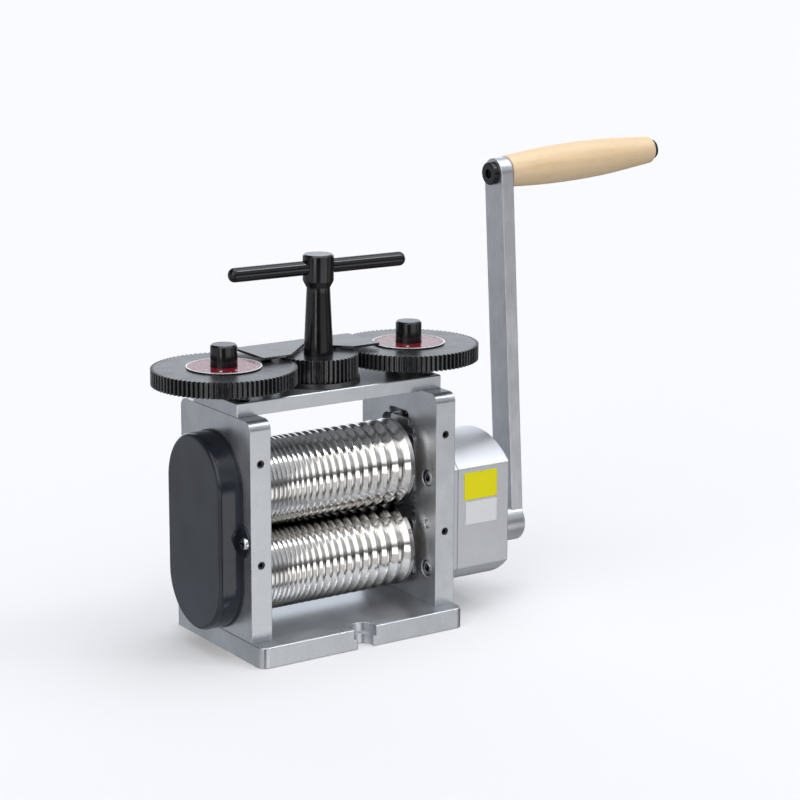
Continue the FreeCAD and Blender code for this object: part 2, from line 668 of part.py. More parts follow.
# ==================================================================== SPRINGS
seat_low = dim("low_axis") + dim("block_high") / 2 - dim("spring_seat_deep")
seat_high = dim("high_axis") - dim("block_high") / 2 + dim("spring_seat_deep")
rise = seat_high - seat_low - 2 * dim("spring_wire")
helix = Part.makeHelix(rise / dim("spring_turns"), rise, dim("spring_coil"))
ring = Part.Wire(Part.makeCircle(dim("spring_wire"), Vector(dim("spring_coil"), 0, 0),
                                 Vector(0, 1, 0)))
coil = Part.Wire(helix.Edges).makePipeShell([ring], True, True)
node("lift_springs", set_of("lift_springs_set", coil, [
    (Vector(a * dim("plate_mid"), b * dim("spring_back"), seat_low + dim("spring_wire")), UP)
    for a in (-1, 1) for b in (-1, 1)]))


# ====================================================================== ROLLS
def roll_shape(right_tail):
    """Half section in local X (radius) and Z (along the roll), revolved."""
    r = dim("roll_radius")
    e = dim("land_round")
    c = dim("roll_chamfer")
    h = dim("roll_half")
    section = [(0.0, -dim("mate_shaft_end")),
               (dim("gear_seat_radius") - 0.6, -dim("mate_shaft_end")),
               (dim("gear_seat_radius"), -dim("mate_shaft_end") + 0.6),
               (dim("gear_seat_radius"), -dim("mate_ring_out")),
               (dim("mate_groove"), -dim("mate_ring_out")),
               (dim("mate_groove"), -dim("mate_out") - 0.1),
               (dim("gear_seat_radius"), -dim("mate_out") - 0.1),
               (dim("gear_seat_radius"), -dim("mate_in") + 0.4),
               (dim("journal_radius"), -dim("mate_in") + 0.4),
               (dim("journal_radius"), -dim("collar_end")),
               (dim("collar_radius"), -dim("collar_end")),
               (dim("collar_radius"), -h), (r - c, -h), (r, -h + c)]
    for left, wide in reversed(GROOVES):
        deep = wide / 2.0
        section += [(r, left - e), (r - e * 0.6, left), (r - deep, left + wide / 2 - 0.12),
                    (r - deep, left + wide / 2 + 0.12), (r - e * 0.6, left + wide),
                    (r, left + wide + e)]
    section += [(r, h - c), (r - c, h), (dim("collar_radius"), h),
                (dim("collar_radius"), dim("collar_end")),
                (dim("journal_radius"), dim("collar_end"))] + right_tail
    wire = Part.makePolygon([Vector(a, 0, b) for a, b in section + section[:1]])
    shape = Part.Face(wire).revolve(Vector(), Vector(0, 0, 1), 360)
    # keyway of the coupling gear, on the side away from the base
    slot = Part.makeBox(dim("mate_key_out"), 2 * dim("mate_key_half"),
                        dim("mate_out") - dim("mate_in") + 0.4,
                        Vector(dim("mate_key_in"), -dim("mate_key_half"), -dim("mate_out")))
    return shape.cut(slot)


# lower roll: its right journal runs on into the gearbox
end = dim("out_shaft_end")
ring_at = dim("out_gear_out") + 0.1
tail = [(dim("journal_radius"), 74.9), (dim("out_shoulder"), 74.9),
        (dim("out_shoulder"), dim("out_gear_in")), (dim("out_shaft_radius"), dim("out_gear_in")),
        (dim("out_shaft_radius"), ring_at), (dim("out_groove"), ring_at),
        (dim("out_groove"), ring_at + dim("out_ring_thick")),
        (dim("out_shaft_radius"), ring_at + dim("out_ring_thick")),
        (dim("out_shaft_radius"), end), (dim("spigot_bore"), end),
        (dim("spigot_bore"), dim("spigot_bore_in")), (0.0, dim("spigot_bore_in"))]
lower = roll_shape(tail)
lower = lower.cut(Part.makeBox(5.0, 6.0, dim("out_gear_out") - dim("out_gear_in"),
                               Vector(6.5, -3.0, dim("out_gear_in"))))
node("lower_roll", feature("lower_roll_shape", lower, Vector(0, 0, dim("low_axis")), LYING))
tail = [(dim("journal_radius") - 0.6, 74.6), (0.0, 74.6)]
tail = [(dim("journal_radius"), 74.0)] + tail
node("upper_roll", feature("upper_roll_shape", roll_shape(tail),
                           Vector(0, 0, dim("high_axis")), LYING))

# ============================================================= COUPLING GEARS
mate_module = (dim("high_axis") - dim("low_axis")) / dim("mate_teeth")


def coupling_gear(label, axis, turn_deg):
    disc = gear_disc(mate_module, dim("mate_teeth"), dim("mate_tip"), dim("mate_root"),
                     dim("mate_backlash"), turn_deg, dim("mate_out") - dim("mate_in"), 6)
    bore = Part.makeCylinder(dim("gear_seat_radius"), 40, Vector(0, 0, -20))
    slot = Part.makeBox(dim("mate_key_out"), 2 * dim("mate_key_half"), 40,
                        Vector(0, -dim("mate_key_half"), -20))
    shape = disc.cut(bore.fuse(slot))
    node(label, feature(label + "_shape", shape,
                        Vector(-dim("mate_out"), 0, dim(axis)), LYING))


coupling_gear("lower_coupling_gear", "low_axis", 90.0)
coupling_gear("upper_coupling_gear", "high_axis", 270.0 + 180.0 / dim("mate_teeth"))

def gear_key(name, axis):
    return box(name, "mate_out - mate_in", "mate_key_out - mate_key_in", "mate_key_half*2",
               ("-mate_out", "mate_key_in", axis + " - mate_key_half"))


def split_ring(name, r_out, r_in, thick, x_at, axis):
    """External retaining ring on a shaft along X, its gap pointing down."""
    disc = cyl(name + "_disc", r_out, thick, (x_at, "0", axis), "x")
    hole = cyl(name + "_hole", r_in, "4", (x_at + " - 1", "0", axis), "x")
    gap = box(name + "_gap", "4", "6", r_out + "*2",
              (x_at + " - 1", "-3", axis + " - " + r_out + "*2"))
    return cut(name + "_clip", disc, hole, gap)


node("upper_gear_key", gear_key("upper_gear_key_bar", "high_axis"))
node("upper_gear_ring", split_ring("upper_gear_ring", "mate_ring_radius", "mate_groove",
                                   "mate_ring_out - mate_out - 0.1", "-mate_ring_out",
                                   "high_axis"))
node("lower_shaft_keys", group(
    "lower_shaft_keys_set", gear_key("lower_gear_key_bar", "low_axis"),
    box("output_key_bar", "out_gear_out - out_gear_in", "4.5", "6",
        ("out_gear_in", "6.5", "low_axis - 3"))))
node("lower_shaft_rings", group(
    "lower_shaft_rings_set",
    split_ring("lower_gear_ring", "mate_ring_radius", "mate_groove",
               "mate_ring_out - mate_out - 0.1", "-mate_ring_out", "low_axis"),
    split_ring("output_ring", "out_ring_radius", "out_groove", "out_ring_thick",
               "out_gear_out + 0.1", "low_axis")))

# ================================================================= LEFT COVER
H, W = dim("cover_half"), dim("cover_wall")
zl, zh = dim("cover_low_arc"), dim("cover_high_arc")


def stadium(half, x_from, x_to):
    """Upright stadium prism along X."""
    wire = Part.Wire([
        Part.makeLine(Vector(x_from, half, zl), Vector(x_from, half, zh)),
        Part.Arc(Vector(x_from, half, zh), Vector(x_from, 0, zh + half),
                 Vector(x_from, -half, zh)).toShape(),
        Part.makeLine(Vector(x_from, -half, zh), Vector(x_from, -half, zl)),
        Part.Arc(Vector(x_from, -half, zl), Vector(x_from, 0, zl - half),
                 Vector(x_from, half, zl)).toShape()])
    return Part.Face(wire).extrude(Vector(x_to - x_from, 0, 0))


x_wall, x_face = -dim("half_width"), -dim("cover_out")
shell = stadium(H, x_wall, x_face)
shell = shell.makeFillet(dim("cover_round"), [e for e in shell.Edges
                                              if near(e.BoundBox.XMin, x_face)
                                              and near(e.BoundBox.XMax, x_face)])
# a thin foot lip all round, where the cover meets the side plate
shell = shell.fuse(stadium(H + 0.7, x_wall, x_wall - 1.4))
core = stadium(H - W, x_wall, x_face + W)
core = core.makeFillet(dim("cover_round") - W + 0.6,
                       [e for e in core.Edges if near(e.BoundBox.XMin, x_face + W)
                        and near(e.BoundBox.XMax, x_face + W)])
cover = shell.cut(core)
for s in (-1, 1):
    scoop_at = Vector(-dim("scoop_out"), s * dim("scoop_back"), dim("ear_height"))
    lining = Part.makeSphere(dim("scoop_radius") + W, scoop_at).common(shell)
    cover = cover.fuse(lining)
for s in (-1, 1):
    scoop_at = Vector(-dim("scoop_out"), s * dim("scoop_back"), dim("ear_height"))
    ear = Part.makeCylinder(dim("ear_radius"), dim("ear_thick"),
                            Vector(x_wall, s * dim("ear_centre"), dim("ear_height")),
                            Vector(-1, 0, 0))
    ear = ear.makeFillet(0.8, [e for e in ear.Edges if near(e.BoundBox.XMax, x_wall - dim("ear_thick"))])
    inside = Part.makeBox(20, 2 * (H - W), 60, Vector(x_wall - 20, -(H - W), dim("ear_height") - 30))
    ear = ear.cut(inside)
    scoop = Part.makeSphere(dim("scoop_radius"), scoop_at)
    keep = Part.makeBox(30, 90, 60, Vector(x_wall - dim("ear_thick") - 30, -45, dim("ear_height") - 30))
    cover = cover.cut(scoop.common(keep)).fuse(ear)
    cover = cover.cut(Part.makeCylinder(dim("grub_radius") + 0.3, 30,
                                        Vector(x_wall + 5, s * dim("ear_screw"), dim("ear_height")),
                                        Vector(-1, 0, 0)).common(
        Part.makeBox(8, 90, 60, Vector(x_wall - 4, -45, dim("ear_height") - 30))))
cover = cover.removeSplitter()
node("gear_cover", feature("gear_cover_shape", cover))

# its two pan head screws
pan = Part.makeCylinder(dim("pan_radius"), dim("pan_high"))
pan = pan.makeFillet(1.4, [e for e in pan.Edges if near(e.BoundBox.ZMin, 0)
                           and near(e.BoundBox.ZMax, 0)])
pan = pan.fuse(Part.makeCylinder(dim("grub_radius"), 10.4, Vector(0, 0, dim("pan_high"))))
pan = pan.cut(Part.makeBox(5.4, 1.0, 1.1, Vector(-2.7, -0.5, 0)))
pan = pan.cut(Part.makeBox(1.0, 5.4, 1.1, Vector(-0.5, -2.7, 0)))
node("gear_cover_screws", set_of("gear_cover_screws_set", pan, [
    (Vector(x_wall - dim("ear_thick") - dim("pan_high"), s * dim("ear_screw"),
            dim("ear_height")), PLUS_X)
    for s in (-1, 1)]))


# ==================================================================== GEARBOX
def box_profile(radius, flat, x_from, x_to):
    """Disc about the gearbox centre with vertical flats at +-flat."""
    disc = Part.makeCylinder(radius, x_to - x_from,
                             Vector(x_from, 0, dim("box_centre")), Vector(1, 0, 0))
    slab = Part.makeBox(x_to - x_from, 2 * flat, 2 * radius + 4,
                        Vector(x_from, -flat, dim("box_centre") - radius - 2))
    return disc.common(slab)


def on_flat(e):
    return is_line_along(e, "x") and near(abs(e.BoundBox.YMin), dim("box_flat"), 0.01)


def end_edges(shape, x):
    return [e for e in shape.Edges if near(e.BoundBox.XMin, x) and near(e.BoundBox.XMax, x)]


RB, FB, WB = dim("box_radius"), dim("box_flat"), dim("box_wall")
flange = box_profile(RB, FB, dim("half_width"), dim("flange_out"))
flange = flange.makeFillet(dim("box_round"), [e for e in flange.Edges if on_flat(e)])
flange = flange.makeChamfer(dim("box_seam"), end_edges(flange, dim("flange_out")))
holes = [Part.makeCylinder(dim("out_shoulder") + 0.5, 20,
                           Vector(70, 0, dim("low_axis")), Vector(1, 0, 0)),
         Part.makeCylinder(dim("lay_pin") + dim("bush_wall"), 20,
                           Vector(dim("lay_in") - 0.4, 0, dim("lay_axis")), Vector(1, 0, 0))]
for s in (-1, 1):
    for h in ("box_screw_high", "box_screw_low"):
        holes.append(Part.makeCylinder(dim("box_screw_radius") + 0.2, 20,
                                       Vector(70, s * dim("box_screw_y"), dim(h)), Vector(1, 0, 0)))
    holes.append(Part.makeCylinder(dim("dowel_radius"), 4.5,
                                   Vector(dim("half_width"), s * dim("box_screw_y"),
                                          dim("dowel_height")), Vector(1, 0, 0)))
for hole in holes:
    flange = flange.cut(hole)
node("gearbox_flange", feature("gearbox_flange_shape", flange))

outer = box_profile(RB, FB, dim("flange_out"), dim("box_out"))
outer = outer.makeFillet(dim("box_round"), [e for e in outer.Edges if on_flat(e)]
                         + end_edges(outer, dim("box_out")))
outer = outer.makeChamfer(dim("box_seam"), end_edges(outer, dim("flange_out")))
inner = box_profile(RB - WB, FB - WB, dim("flange_out") - 1, dim("box_out") - dim("box_end_wall"))
house = outer.cut(inner)
lugs = []
for s in (-1, 1):
    for h in ("box_screw_high", "box_screw_low"):
        lugs.append(Part.makeCylinder(dim("box_post_radius"), 16.0,
                                      Vector(dim("flange_out"), s * dim("box_screw_y"), dim(h)),
                                      Vector(1, 0, 0)).common(outer))
lugs.append(Part.makeCylinder(12.0, 7.0, Vector(dim("box_out") - 7.0, 0, dim("low_axis")),
                              Vector(1, 0, 0)).common(outer))
lugs.append(Part.makeCylinder(10.5, 7.0, Vector(dim("box_out") - 7.0, 0, dim("lay_axis")),
                              Vector(1, 0, 0)))
for lug in lugs:
    house = house.fuse(lug)
drills = [Part.makeCylinder(dim("input_radius") + dim("bush_wall"), 20,
                            Vector(110, 0, dim("low_axis")), Vector(1, 0, 0)),
          Part.makeCylinder(dim("lay_pin") + dim("bush_wall"), dim("lay_out") - 110 + 0.4,
                            Vector(110, 0, dim("lay_axis")), Vector(1, 0, 0))]
for s in (-1, 1):
    for h in ("box_screw_high", "box_screw_low"):
        drills.append(Part.makeCylinder(dim("box_screw_radius"), 14.5,
                                        Vector(dim("flange_out"), s * dim("box_screw_y"), dim(h)),
                                        Vector(1, 0, 0)))
for drill in drills:
    house = house.cut(drill)
house = house.removeSplitter()
node("gearbox_housing", feature("gearbox_housing_shape", house))

# plain bushes: layshaft left, layshaft right, crank shaft
bush_parts = []
for tag, pin, x_a, x_b, axis in (
        ("lay_left", "lay_pin", "lay_in - 0.4", "flange_out", "lay_axis"),
        ("lay_right", "lay_pin", "box_out - 7", "lay_out", "lay_axis"),
        ("crank_side", "input_radius", "box_out - 7", "box_out + 0.6", "low_axis")):
    long = x_b + " - " + x_a.replace(" - ", " + ")
    outer = cyl("bush_" + tag, pin + " + bush_wall", long, (x_a, "0", axis), "x")
    inner = cyl("bush_bore_" + tag, pin + " + fit", long + " + 2",
                (x_a + " - 1", "0", axis), "x")
    bush_parts.append(cut("bush_ring_" + tag, outer, inner))
node("gearbox_bushes", group("gearbox_bushes_set", *bush_parts))

mod = dim("coarse_module")
big, small = dim("coarse_big"), dim("coarse_small")
thin = dim("coarse_backlash")


def coarse(teeth, turn_deg, width):
    pitch = mod * teeth / 2
    return gear_disc(mod, teeth, pitch + mod, pitch - 1.22 * mod, thin, turn_deg, width, 5)


def rod(radius, x_from, x_to, ease=0.0):
    shape = Part.makeCylinder(radius, x_to - x_from, Vector(0, 0, x_from))
    if ease:
        shape = shape.makeChamfer(ease, [e for e in shape.Edges if e.BoundBox.ZLength < 1e-3])
    return shape


# output gear on the lower roll's shaft
gear = coarse(big, 90.0 + 180.0 / big, dim("out_gear_out") - dim("out_gear_in"))
gear.translate(Vector(0, 0, dim("out_gear_in")))
gear = gear.cut(rod(dim("out_shaft_radius"), 70, 110))
gear = gear.cut(Part.makeBox(11.0, 6.0, 40, Vector(0, -3.0, 70)))
node("output_gear", feature("output_gear_shape", gear, Vector(0, 0, dim("low_axis")), LYING))
# layshaft with its own pinion cut on it, and the wheel pressed on
pinion = coarse(small, 270.0, dim("lay_pinion_out") - dim("lay_pinion_in"))
pinion.translate(Vector(0, 0, dim("lay_pinion_in")))
shaft = pinion.fuse([rod(dim("lay_pin"), dim("lay_in"), dim("lay_pinion_in") + 1),
                     rod(8.2, dim("lay_pinion_out") - 1, dim("lay_wheel_in")),
                     rod(dim("lay_seat"), dim("lay_wheel_in") - 1, dim("lay_wheel_out") + 0.4),
                     rod(dim("lay_pin"), dim("lay_wheel_out") - 1, dim("lay_out") - 0.3)])
node("layshaft", feature("layshaft_shape", shaft.removeSplitter(),
                         Vector(0, 0, dim("lay_axis")), LYING))
wheel = coarse(big, 270.0 + 180.0 / big, dim("lay_wheel_out") - dim("lay_wheel_in"))
wheel.translate(Vector(0, 0, dim("lay_wheel_in")))
wheel = wheel.cut(rod(dim("lay_seat"), 90, 130))
node("layshaft_wheel", feature("layshaft_wheel_shape", wheel,
                               Vector(0, 0, dim("lay_axis")), LYING))

# crank shaft with its pinion; a spigot runs in the end of the roll's shaft
pinion = coarse(small, 90.0, dim("input_gear_out") - dim("input_gear_in"))
pinion.translate(Vector(0, 0, dim("input_gear_in")))
shaft = pinion.fuse([rod(dim("spigot_radius"), dim("spigot_in"), dim("input_in") + 1),
                     rod(dim("input_radius"), dim("input_in"), dim("input_end"), 0.8)])
node("input_shaft", feature("input_shaft_shape", shaft.removeSplitter(),
                            Vector(0, 0, dim("low_axis")), LYING))

# two plain foils on the front flat, with nothing printed on them
def foil(label, x_from, x_to, z_from, z_to):
    sheet_y = -dim("box_flat")
    node(label, feature(label + "_shape", Part.makeBox(
        x_to - x_from, dim("foil_thick"), z_to - z_from,
        Vector(x_from, sheet_y - dim("foil_thick"), z_from))))


foil("yellow_foil", 87.3, 113.2, 77.5, 95.5)
foil("white_foil", 88.4, 113.3, 60.9, 76.1)

# ================================================================== SCREWDOWN
for side, sign in (("right", ""), ("left", "-")):
    # pressure screw: stem, then the smooth post that drives through the gear
    body = turned(side + "_screw", [
        ("0", "stem_tip"), ("stem_radius - 1.4", "stem_tip"),
        ("stem_radius", "stem_tip + 1.4"), ("stem_radius", "post_low"),
        ("post_radius", "post_low"), ("post_radius", "post_top - post_chamfer"),
        ("post_radius - post_chamfer", "post_top"), ("0", "post_top")])
    place(body, (sign + "screw_out", "0", "0"))
    slot = box(side + "_key_slot", "key_half*2", "post_radius", "key_top - key_low",
               (sign + "screw_out - key_half", "key_in", "key_low"))
    node(side + "_pressure_screw", cut(side + "_pressure_screw_cut", body, slot))
    node(side + "_screw_key", box(side + "_screw_key_bar", "key_half*2", "key_out - key_in",
                                  "key_top - key_low",
                                  (sign + "screw_out - key_half", "key_in", "key_low")))
    # fine pitch gear with a hub below it
    z_big = dim("fine_teeth_big")
    gear = gear_disc(dim("fine_module"), z_big, dim("fine_tip_big"),
                     dim("fine_module") * (z_big / 2 - 1.25), 0.14,
                     (180.0 if sign == "" else 0.0) + 180.0 / z_big,
                     dim("gear_top") - dim("gear_low"))
    gear.translate(Vector(0, 0, dim("gear_low")))
    hub = Part.makeCylinder(dim("hub_radius"), dim("gear_low") - dim("hub_low"),
                            Vector(0, 0, dim("hub_low")))
    gear = gear.fuse(hub).removeSplitter()
    gear = gear.cut(Part.makeCylinder(dim("post_radius") + dim("fit"), 60, Vector(0, 0, 140)))
    gear = gear.cut(Part.makeBox(2 * dim("key_half") + 0.12, dim("key_out") + 0.1, 60,
                                 Vector(-dim("key_half") - 0.06, 0, 140)))
    at = Vector((1 if sign == "" else -1) * dim("screw_out"), 0, 0)
    node(side + "_screw_gear", feature(side + "_screw_gear_shape", gear, at))
    disc = cyl(side + "_dial_disc", "dial_radius", "dial_top - gear_top",
               (sign + "screw_out", "0", "gear_top"))
    hole = cyl(side + "_dial_hole", "post_radius + fit*5", "6",
               (sign + "screw_out", "0", "gear_top - 1"))
    node(side + "_dial", cut(side + "_dial_ring", disc, hole))

# loose washers between the top plate and the turning gears
rings_on_top = []
for tag, at, r_out, r_in, top in (
        ("a", "screw_out", "hub_radius", "stem_radius + 1", "hub_low"),
        ("b", "-screw_out", "hub_radius", "stem_radius + 1", "hub_low"),
        ("c", "0", "collar_ring_radius", "stud_radius + fit", "collar_ring_top")):
    disc = cyl("top_washer_" + tag, r_out, top + " - yoke_top - fit", (at, "0", "yoke_top"))
    hole = cyl("top_washer_hole_" + tag, r_in, "8", (at, "0", "yoke_top - 1"))
    rings_on_top.append(cut("top_washer_ring_" + tag, disc, hole))
node("gear_spacer_washers", group("gear_spacer_washers_set", *rings_on_top))

# centre stud, retaining ring, pinion
node("pinion_stud", turned("pinion_stud", [
    ("0", "stud_low"), ("stud_thread", "stud_low"), ("stud_thread", "yoke_top"),
    ("stud_radius", "yoke_top"), ("stud_radius", "ring_low - fit"),
    ("stud_groove", "ring_low - fit"), ("stud_groove", "ring_top"),
    ("stud_radius", "ring_top"), ("stud_radius", "stud_top"), ("0", "stud_top")]))
disc = cyl("pinion_ring_disc", "ring_outer", "ring_top - ring_low", ("0", "0", "ring_low"))
hole = cyl("pinion_ring_hole", "stud_groove", "4", ("0", "0", "ring_low - 1"))
gap = box("pinion_ring_gap", "4", "ring_outer*2", "4", ("-2", "-ring_outer*2", "ring_low - 1"))
node("pinion_retaining_ring", cut("pinion_ring_clip", disc, hole, gap))

z_small = dim("fine_teeth_small")
gear = gear_disc(dim("fine_module"), z_small, dim("fine_tip_small"),
                 dim("fine_module") * (z_small / 2 - 1.25), 0.14, 0.0,
                 dim("pinion_top") - dim("pinion_low"))
gear.translate(Vector(0, 0, dim("pinion_low")))
gear = gear.cut(Part.makeCylinder(dim("stud_radius") + dim("fit"), 60, Vector(0, 0, 140)))
gear = gear.cut(Part.makeCylinder(dim("pinion_cbore"), 60, Vector(0, 0, dim("pinion_cbore_low"))))
node("screwdown_pinion", feature("screwdown_pinion_shape", gear))

# T handle: turned column screwed into the pinion, and the cross bar
column = turned("column", [
    ("0", "spigot_low"), ("pinion_cbore", "spigot_low"), ("pinion_cbore", "pinion_top"),
    ("column_base", "pinion_top"), ("column_neck", "neck_height"),
    ("head_radius", "head_low"), ("head_radius", "head_top - head_chamfer"),
    ("head_radius - head_chamfer", "head_top"), ("0", "head_top")])
swing = math.radians(dim("bar_turn"))
bar_dir = Rotation(Vector(0, 0, 1), dim("bar_turn")).multiply(TURN["x"])
bar_hole = feature("bar_hole", Part.makeCylinder(dim("bar_radius"), 4 * dim("head_radius"),
                                                 Vector(0, 0, -2 * dim("head_radius"))),
                   Vector(0, 0, dim("bar_height")), bar_dir)
node("t_handle_column", cut("t_handle_column_cut", column, bar_hole))
bar = Part.makeCylinder(dim("bar_radius"), 2 * dim("bar_half"), Vector(0, 0, -dim("bar_half")))
bar = bar.makeFillet(dim("bar_radius") - 0.6, [e for e in bar.Edges if e.BoundBox.ZLength < 1e-3])
node("t_handle_bar", feature("t_handle_bar_shape", bar,
                             Vector(0, 0, dim("bar_height")), bar_dir))

# index plate over the gear mesh, on two riveted pillars
body = new_body("index_plate_body")
sk = new_sketch(body, "index_outline", "XY_Plane", "index_low")
outline(sk, [("-index_half", "-index_front"), ("-index_notch_half", "-index_front"),
             ("0", "index_notch_apex"), ("index_notch_half", "-index_front"),
             ("index_half", "-index_front"), ("index_half", "index_back"),
             ("-index_half", "index_back")])
pad(body, "index_sheet", sk, "index_top - index_low")
sk = new_sketch(body, "index_rivets", "XY_Plane", "index_top")
rings(sk, [("pillar_out", "pillar_back", "pillar_stub"),
           ("-pillar_out", "pillar_back", "pillar_stub")])
pocket(body, "index_rivet_holes", sk, None)
node("index_plate", body)
pillars = [turned("pillar_" + tag, [
    ("0", "yoke_top - 6"), ("pillar_stub", "yoke_top - 6"), ("pillar_stub", "yoke_top"),
    ("pillar_radius", "yoke_top"), ("pillar_radius", "index_low"),
    ("pillar_stub", "index_low"), ("pillar_stub", "index_top"), ("0", "index_top")])
    for tag in ("right", "left")]
place(pillars[0], ("pillar_out", "pillar_back", "0"))
place(pillars[1], ("-pillar_out", "pillar_back", "0"))
node("index_plate_pillars", group("index_plate_pillars_set", *pillars))

# ====================================================================== CRANK
lean = dim("arm_lean")
ARM = Rotation(Vector(0, 1, 0), -lean)
arm_at = Vector(dim("arm_inner"), 0, dim("low_axis"))


def on_arm(out, across, along):
    return arm_at + ARM.multVec(Vector(out, across, along))


bar = Part.makeBox(dim("arm_thick"), 2 * dim("arm_half"), dim("arm_long"),
                   Vector(0, -dim("arm_half"), 0))
tip = Part.makeCylinder(dim("arm_half"), dim("arm_thick"), Vector(0, 0, dim("arm_long")),
                        Vector(1, 0, 0))
bar = bar.fuse(tip).removeSplitter()
bar = bar.makeFillet(0.7, [e for e in bar.Edges if e.BoundBox.XLength < 1e-3
                           and e.BoundBox.ZMax > 20])
bar = bar.cut(Part.makeCylinder(dim("bolt_radius"), 40, Vector(-10, 0, dim("arm_long")),
                                Vector(1, 0, 0)))
boss_world = Part.makeCylinder(dim("boss_radius"), 80, Vector(100, 0, dim("low_axis")),
                               Vector(1, 0, 0))
bar.Placement = Placement(arm_at, ARM)
bar = bar.cut(boss_world)
node("crank_arm", feature("crank_arm_shape", bar))

drum = cyl("boss_drum", "boss_radius", "boss_out - boss_in", ("boss_in", "0", "low_axis"), "x")
eased = fillet("boss_eased", drum, 0.9, lambda e: e.BoundBox.XLength < 1e-3)
bore = cyl("boss_bore", "input_radius", "60", ("boss_in - 5", "0", "low_axis"), "x")
tap = cyl("boss_tap", "set_screw_radius", "boss_radius + 2",
          ("set_screw_x", "0", "low_axis"), "z")
node("crank_boss", cut("crank_boss_cut", eased, bore, tap))
screw = Part.makeCylinder(dim("set_screw_radius"), 4.8)
screw = screw.cut(Part.Face(Part.makePolygon([Vector(
    1.7 * math.cos(math.radians(60 * i)), 1.7 * math.sin(math.radians(60 * i)), 0)
    for i in range(7)])).extrude(Vector(0, 0, 2.4)))
node("crank_set_screw", feature("crank_set_screw_shape", screw, Vector(
    dim("set_screw_x"), 0, dim("low_axis") + dim("input_radius") + 4.8), DOWN))

# handle: a bolt through the arm, a turned wooden grip that spins on it, an end nut
GRIP = Rotation(Vector(0, 1, 0), 90 - lean)
long = dim("grip_long")
g_from = dim("arm_thick") + dim("grip_gap")
g_to = g_from + long
rb = dim("bolt_radius")
spindle = rb - 1.0
bolt = Part.makeCylinder(dim("bolt_head_radius"), dim("bolt_head_high"),
                         Vector(0, 0, -dim("bolt_head_high")))
bolt = bolt.makeFillet(1.0, [e for e in bolt.Edges
                             if near(e.BoundBox.ZMax, -dim("bolt_head_high"))])
bolt = bolt.cut(Part.Face(Part.makePolygon([Vector(
    3.4 * math.cos(math.radians(60 * i)), 3.4 * math.sin(math.radians(60 * i)),
    -dim("bolt_head_high")) for i in range(7)])).extrude(Vector(0, 0, 2.6)))
bolt = bolt.fuse([Part.makeCylinder(rb, dim("arm_thick")),
                  Part.makeCylinder(spindle, g_to + 0.3 + dim("nut_deep"))]).removeSplitter()
node("handle_bolt", feature("handle_bolt_shape", bolt, on_arm(0, 0, dim("arm_long")), GRIP))

pr = [(0.0, dim("grip_start")), (0.04, dim("grip_start") + 0.4), (0.20, dim("grip_start") + 1.75),
      (0.42, dim("grip_belly")), (0.70, dim("grip_belly") - 0.8), (0.9, dim("grip_end") + 1.0),
      (1.0, dim("grip_end"))]
curve = Part.BSplineCurve()
curve.interpolate([Vector(r, 0, g_from + f * long) for f, r in pr])
r_in = spindle + 0.08
edges = [curve.toShape(),
         Part.makeLine(Vector(dim("grip_end"), 0, g_to), Vector(r_in, 0, g_to)),
         Part.makeLine(Vector(r_in, 0, g_to), Vector(r_in, 0, g_from)),
         Part.makeLine(Vector(r_in, 0, g_from), Vector(dim("grip_start"), 0, g_from))]
grip = Part.Face(Part.Wire(edges)).revolve(Vector(), Vector(0, 0, 1), 360)
for z_at, round_by in ((g_from, 0.8), (g_to, 1.6)):
    grip = grip.makeFillet(round_by, [e for e in grip.Edges if e.BoundBox.ZLength < 1e-3
                                      and near(e.BoundBox.ZMin, z_at)
                                      and e.BoundBox.XLength > 2 * r_in + 2])
node("handle_grip", feature("handle_grip_shape", grip, on_arm(0, 0, dim("arm_long")), GRIP))

cap_z = g_to + 0.3
cap = Part.makeCylinder(dim("cap_radius"), dim("cap_long"), Vector(0, 0, cap_z))
cap = cap.makeFillet(2.6, [e for e in cap.Edges if near(e.BoundBox.ZMin, cap_z + dim("cap_long"))])
cap = cap.cut(Part.makeCylinder(spindle, dim("nut_deep"), Vector(0, 0, cap_z)))
node("handle_end_nut", feature("handle_end_nut_shape", cap,
                               on_arm(0, 0, dim("arm_long")), GRIP))

# ===================================================================== EXPORT
doc.recompute()
for obj in doc.Objects:
    if "Invalid" in obj.State or "Error" in obj.State:
        raise RuntimeError("%s failed: %s" % (obj.Label, obj.State))
for label, obj in sorted(NODES.items()):
    shape = obj.Shape
    if shape.isNull() or not shape.isValid() or not shape.Solids:
        raise RuntimeError("%s has no valid solid" % label)
for label, obj in sorted(NODES.items()):
    obj.Shape.exportStep("parts/%s.step" % label)
    print("%-24s %2d solid(s) %10.1f mm3" % (label, len(obj.Shape.Solids), obj.Shape.Volume))
print(len(NODES), "parts")
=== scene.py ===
import math

import bmesh
import bpy
from mathutils import Matrix, Vector


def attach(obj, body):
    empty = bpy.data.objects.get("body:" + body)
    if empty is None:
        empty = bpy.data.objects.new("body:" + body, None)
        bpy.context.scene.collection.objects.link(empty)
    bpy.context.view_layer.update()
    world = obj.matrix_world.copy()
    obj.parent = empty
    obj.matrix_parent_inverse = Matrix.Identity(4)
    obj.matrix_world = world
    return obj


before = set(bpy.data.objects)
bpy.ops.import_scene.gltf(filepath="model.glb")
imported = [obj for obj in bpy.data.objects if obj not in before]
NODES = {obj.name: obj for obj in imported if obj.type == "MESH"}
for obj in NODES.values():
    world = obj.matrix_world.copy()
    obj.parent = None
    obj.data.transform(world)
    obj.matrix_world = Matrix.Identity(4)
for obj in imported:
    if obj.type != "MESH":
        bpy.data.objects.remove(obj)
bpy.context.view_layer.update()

scene = bpy.context.scene


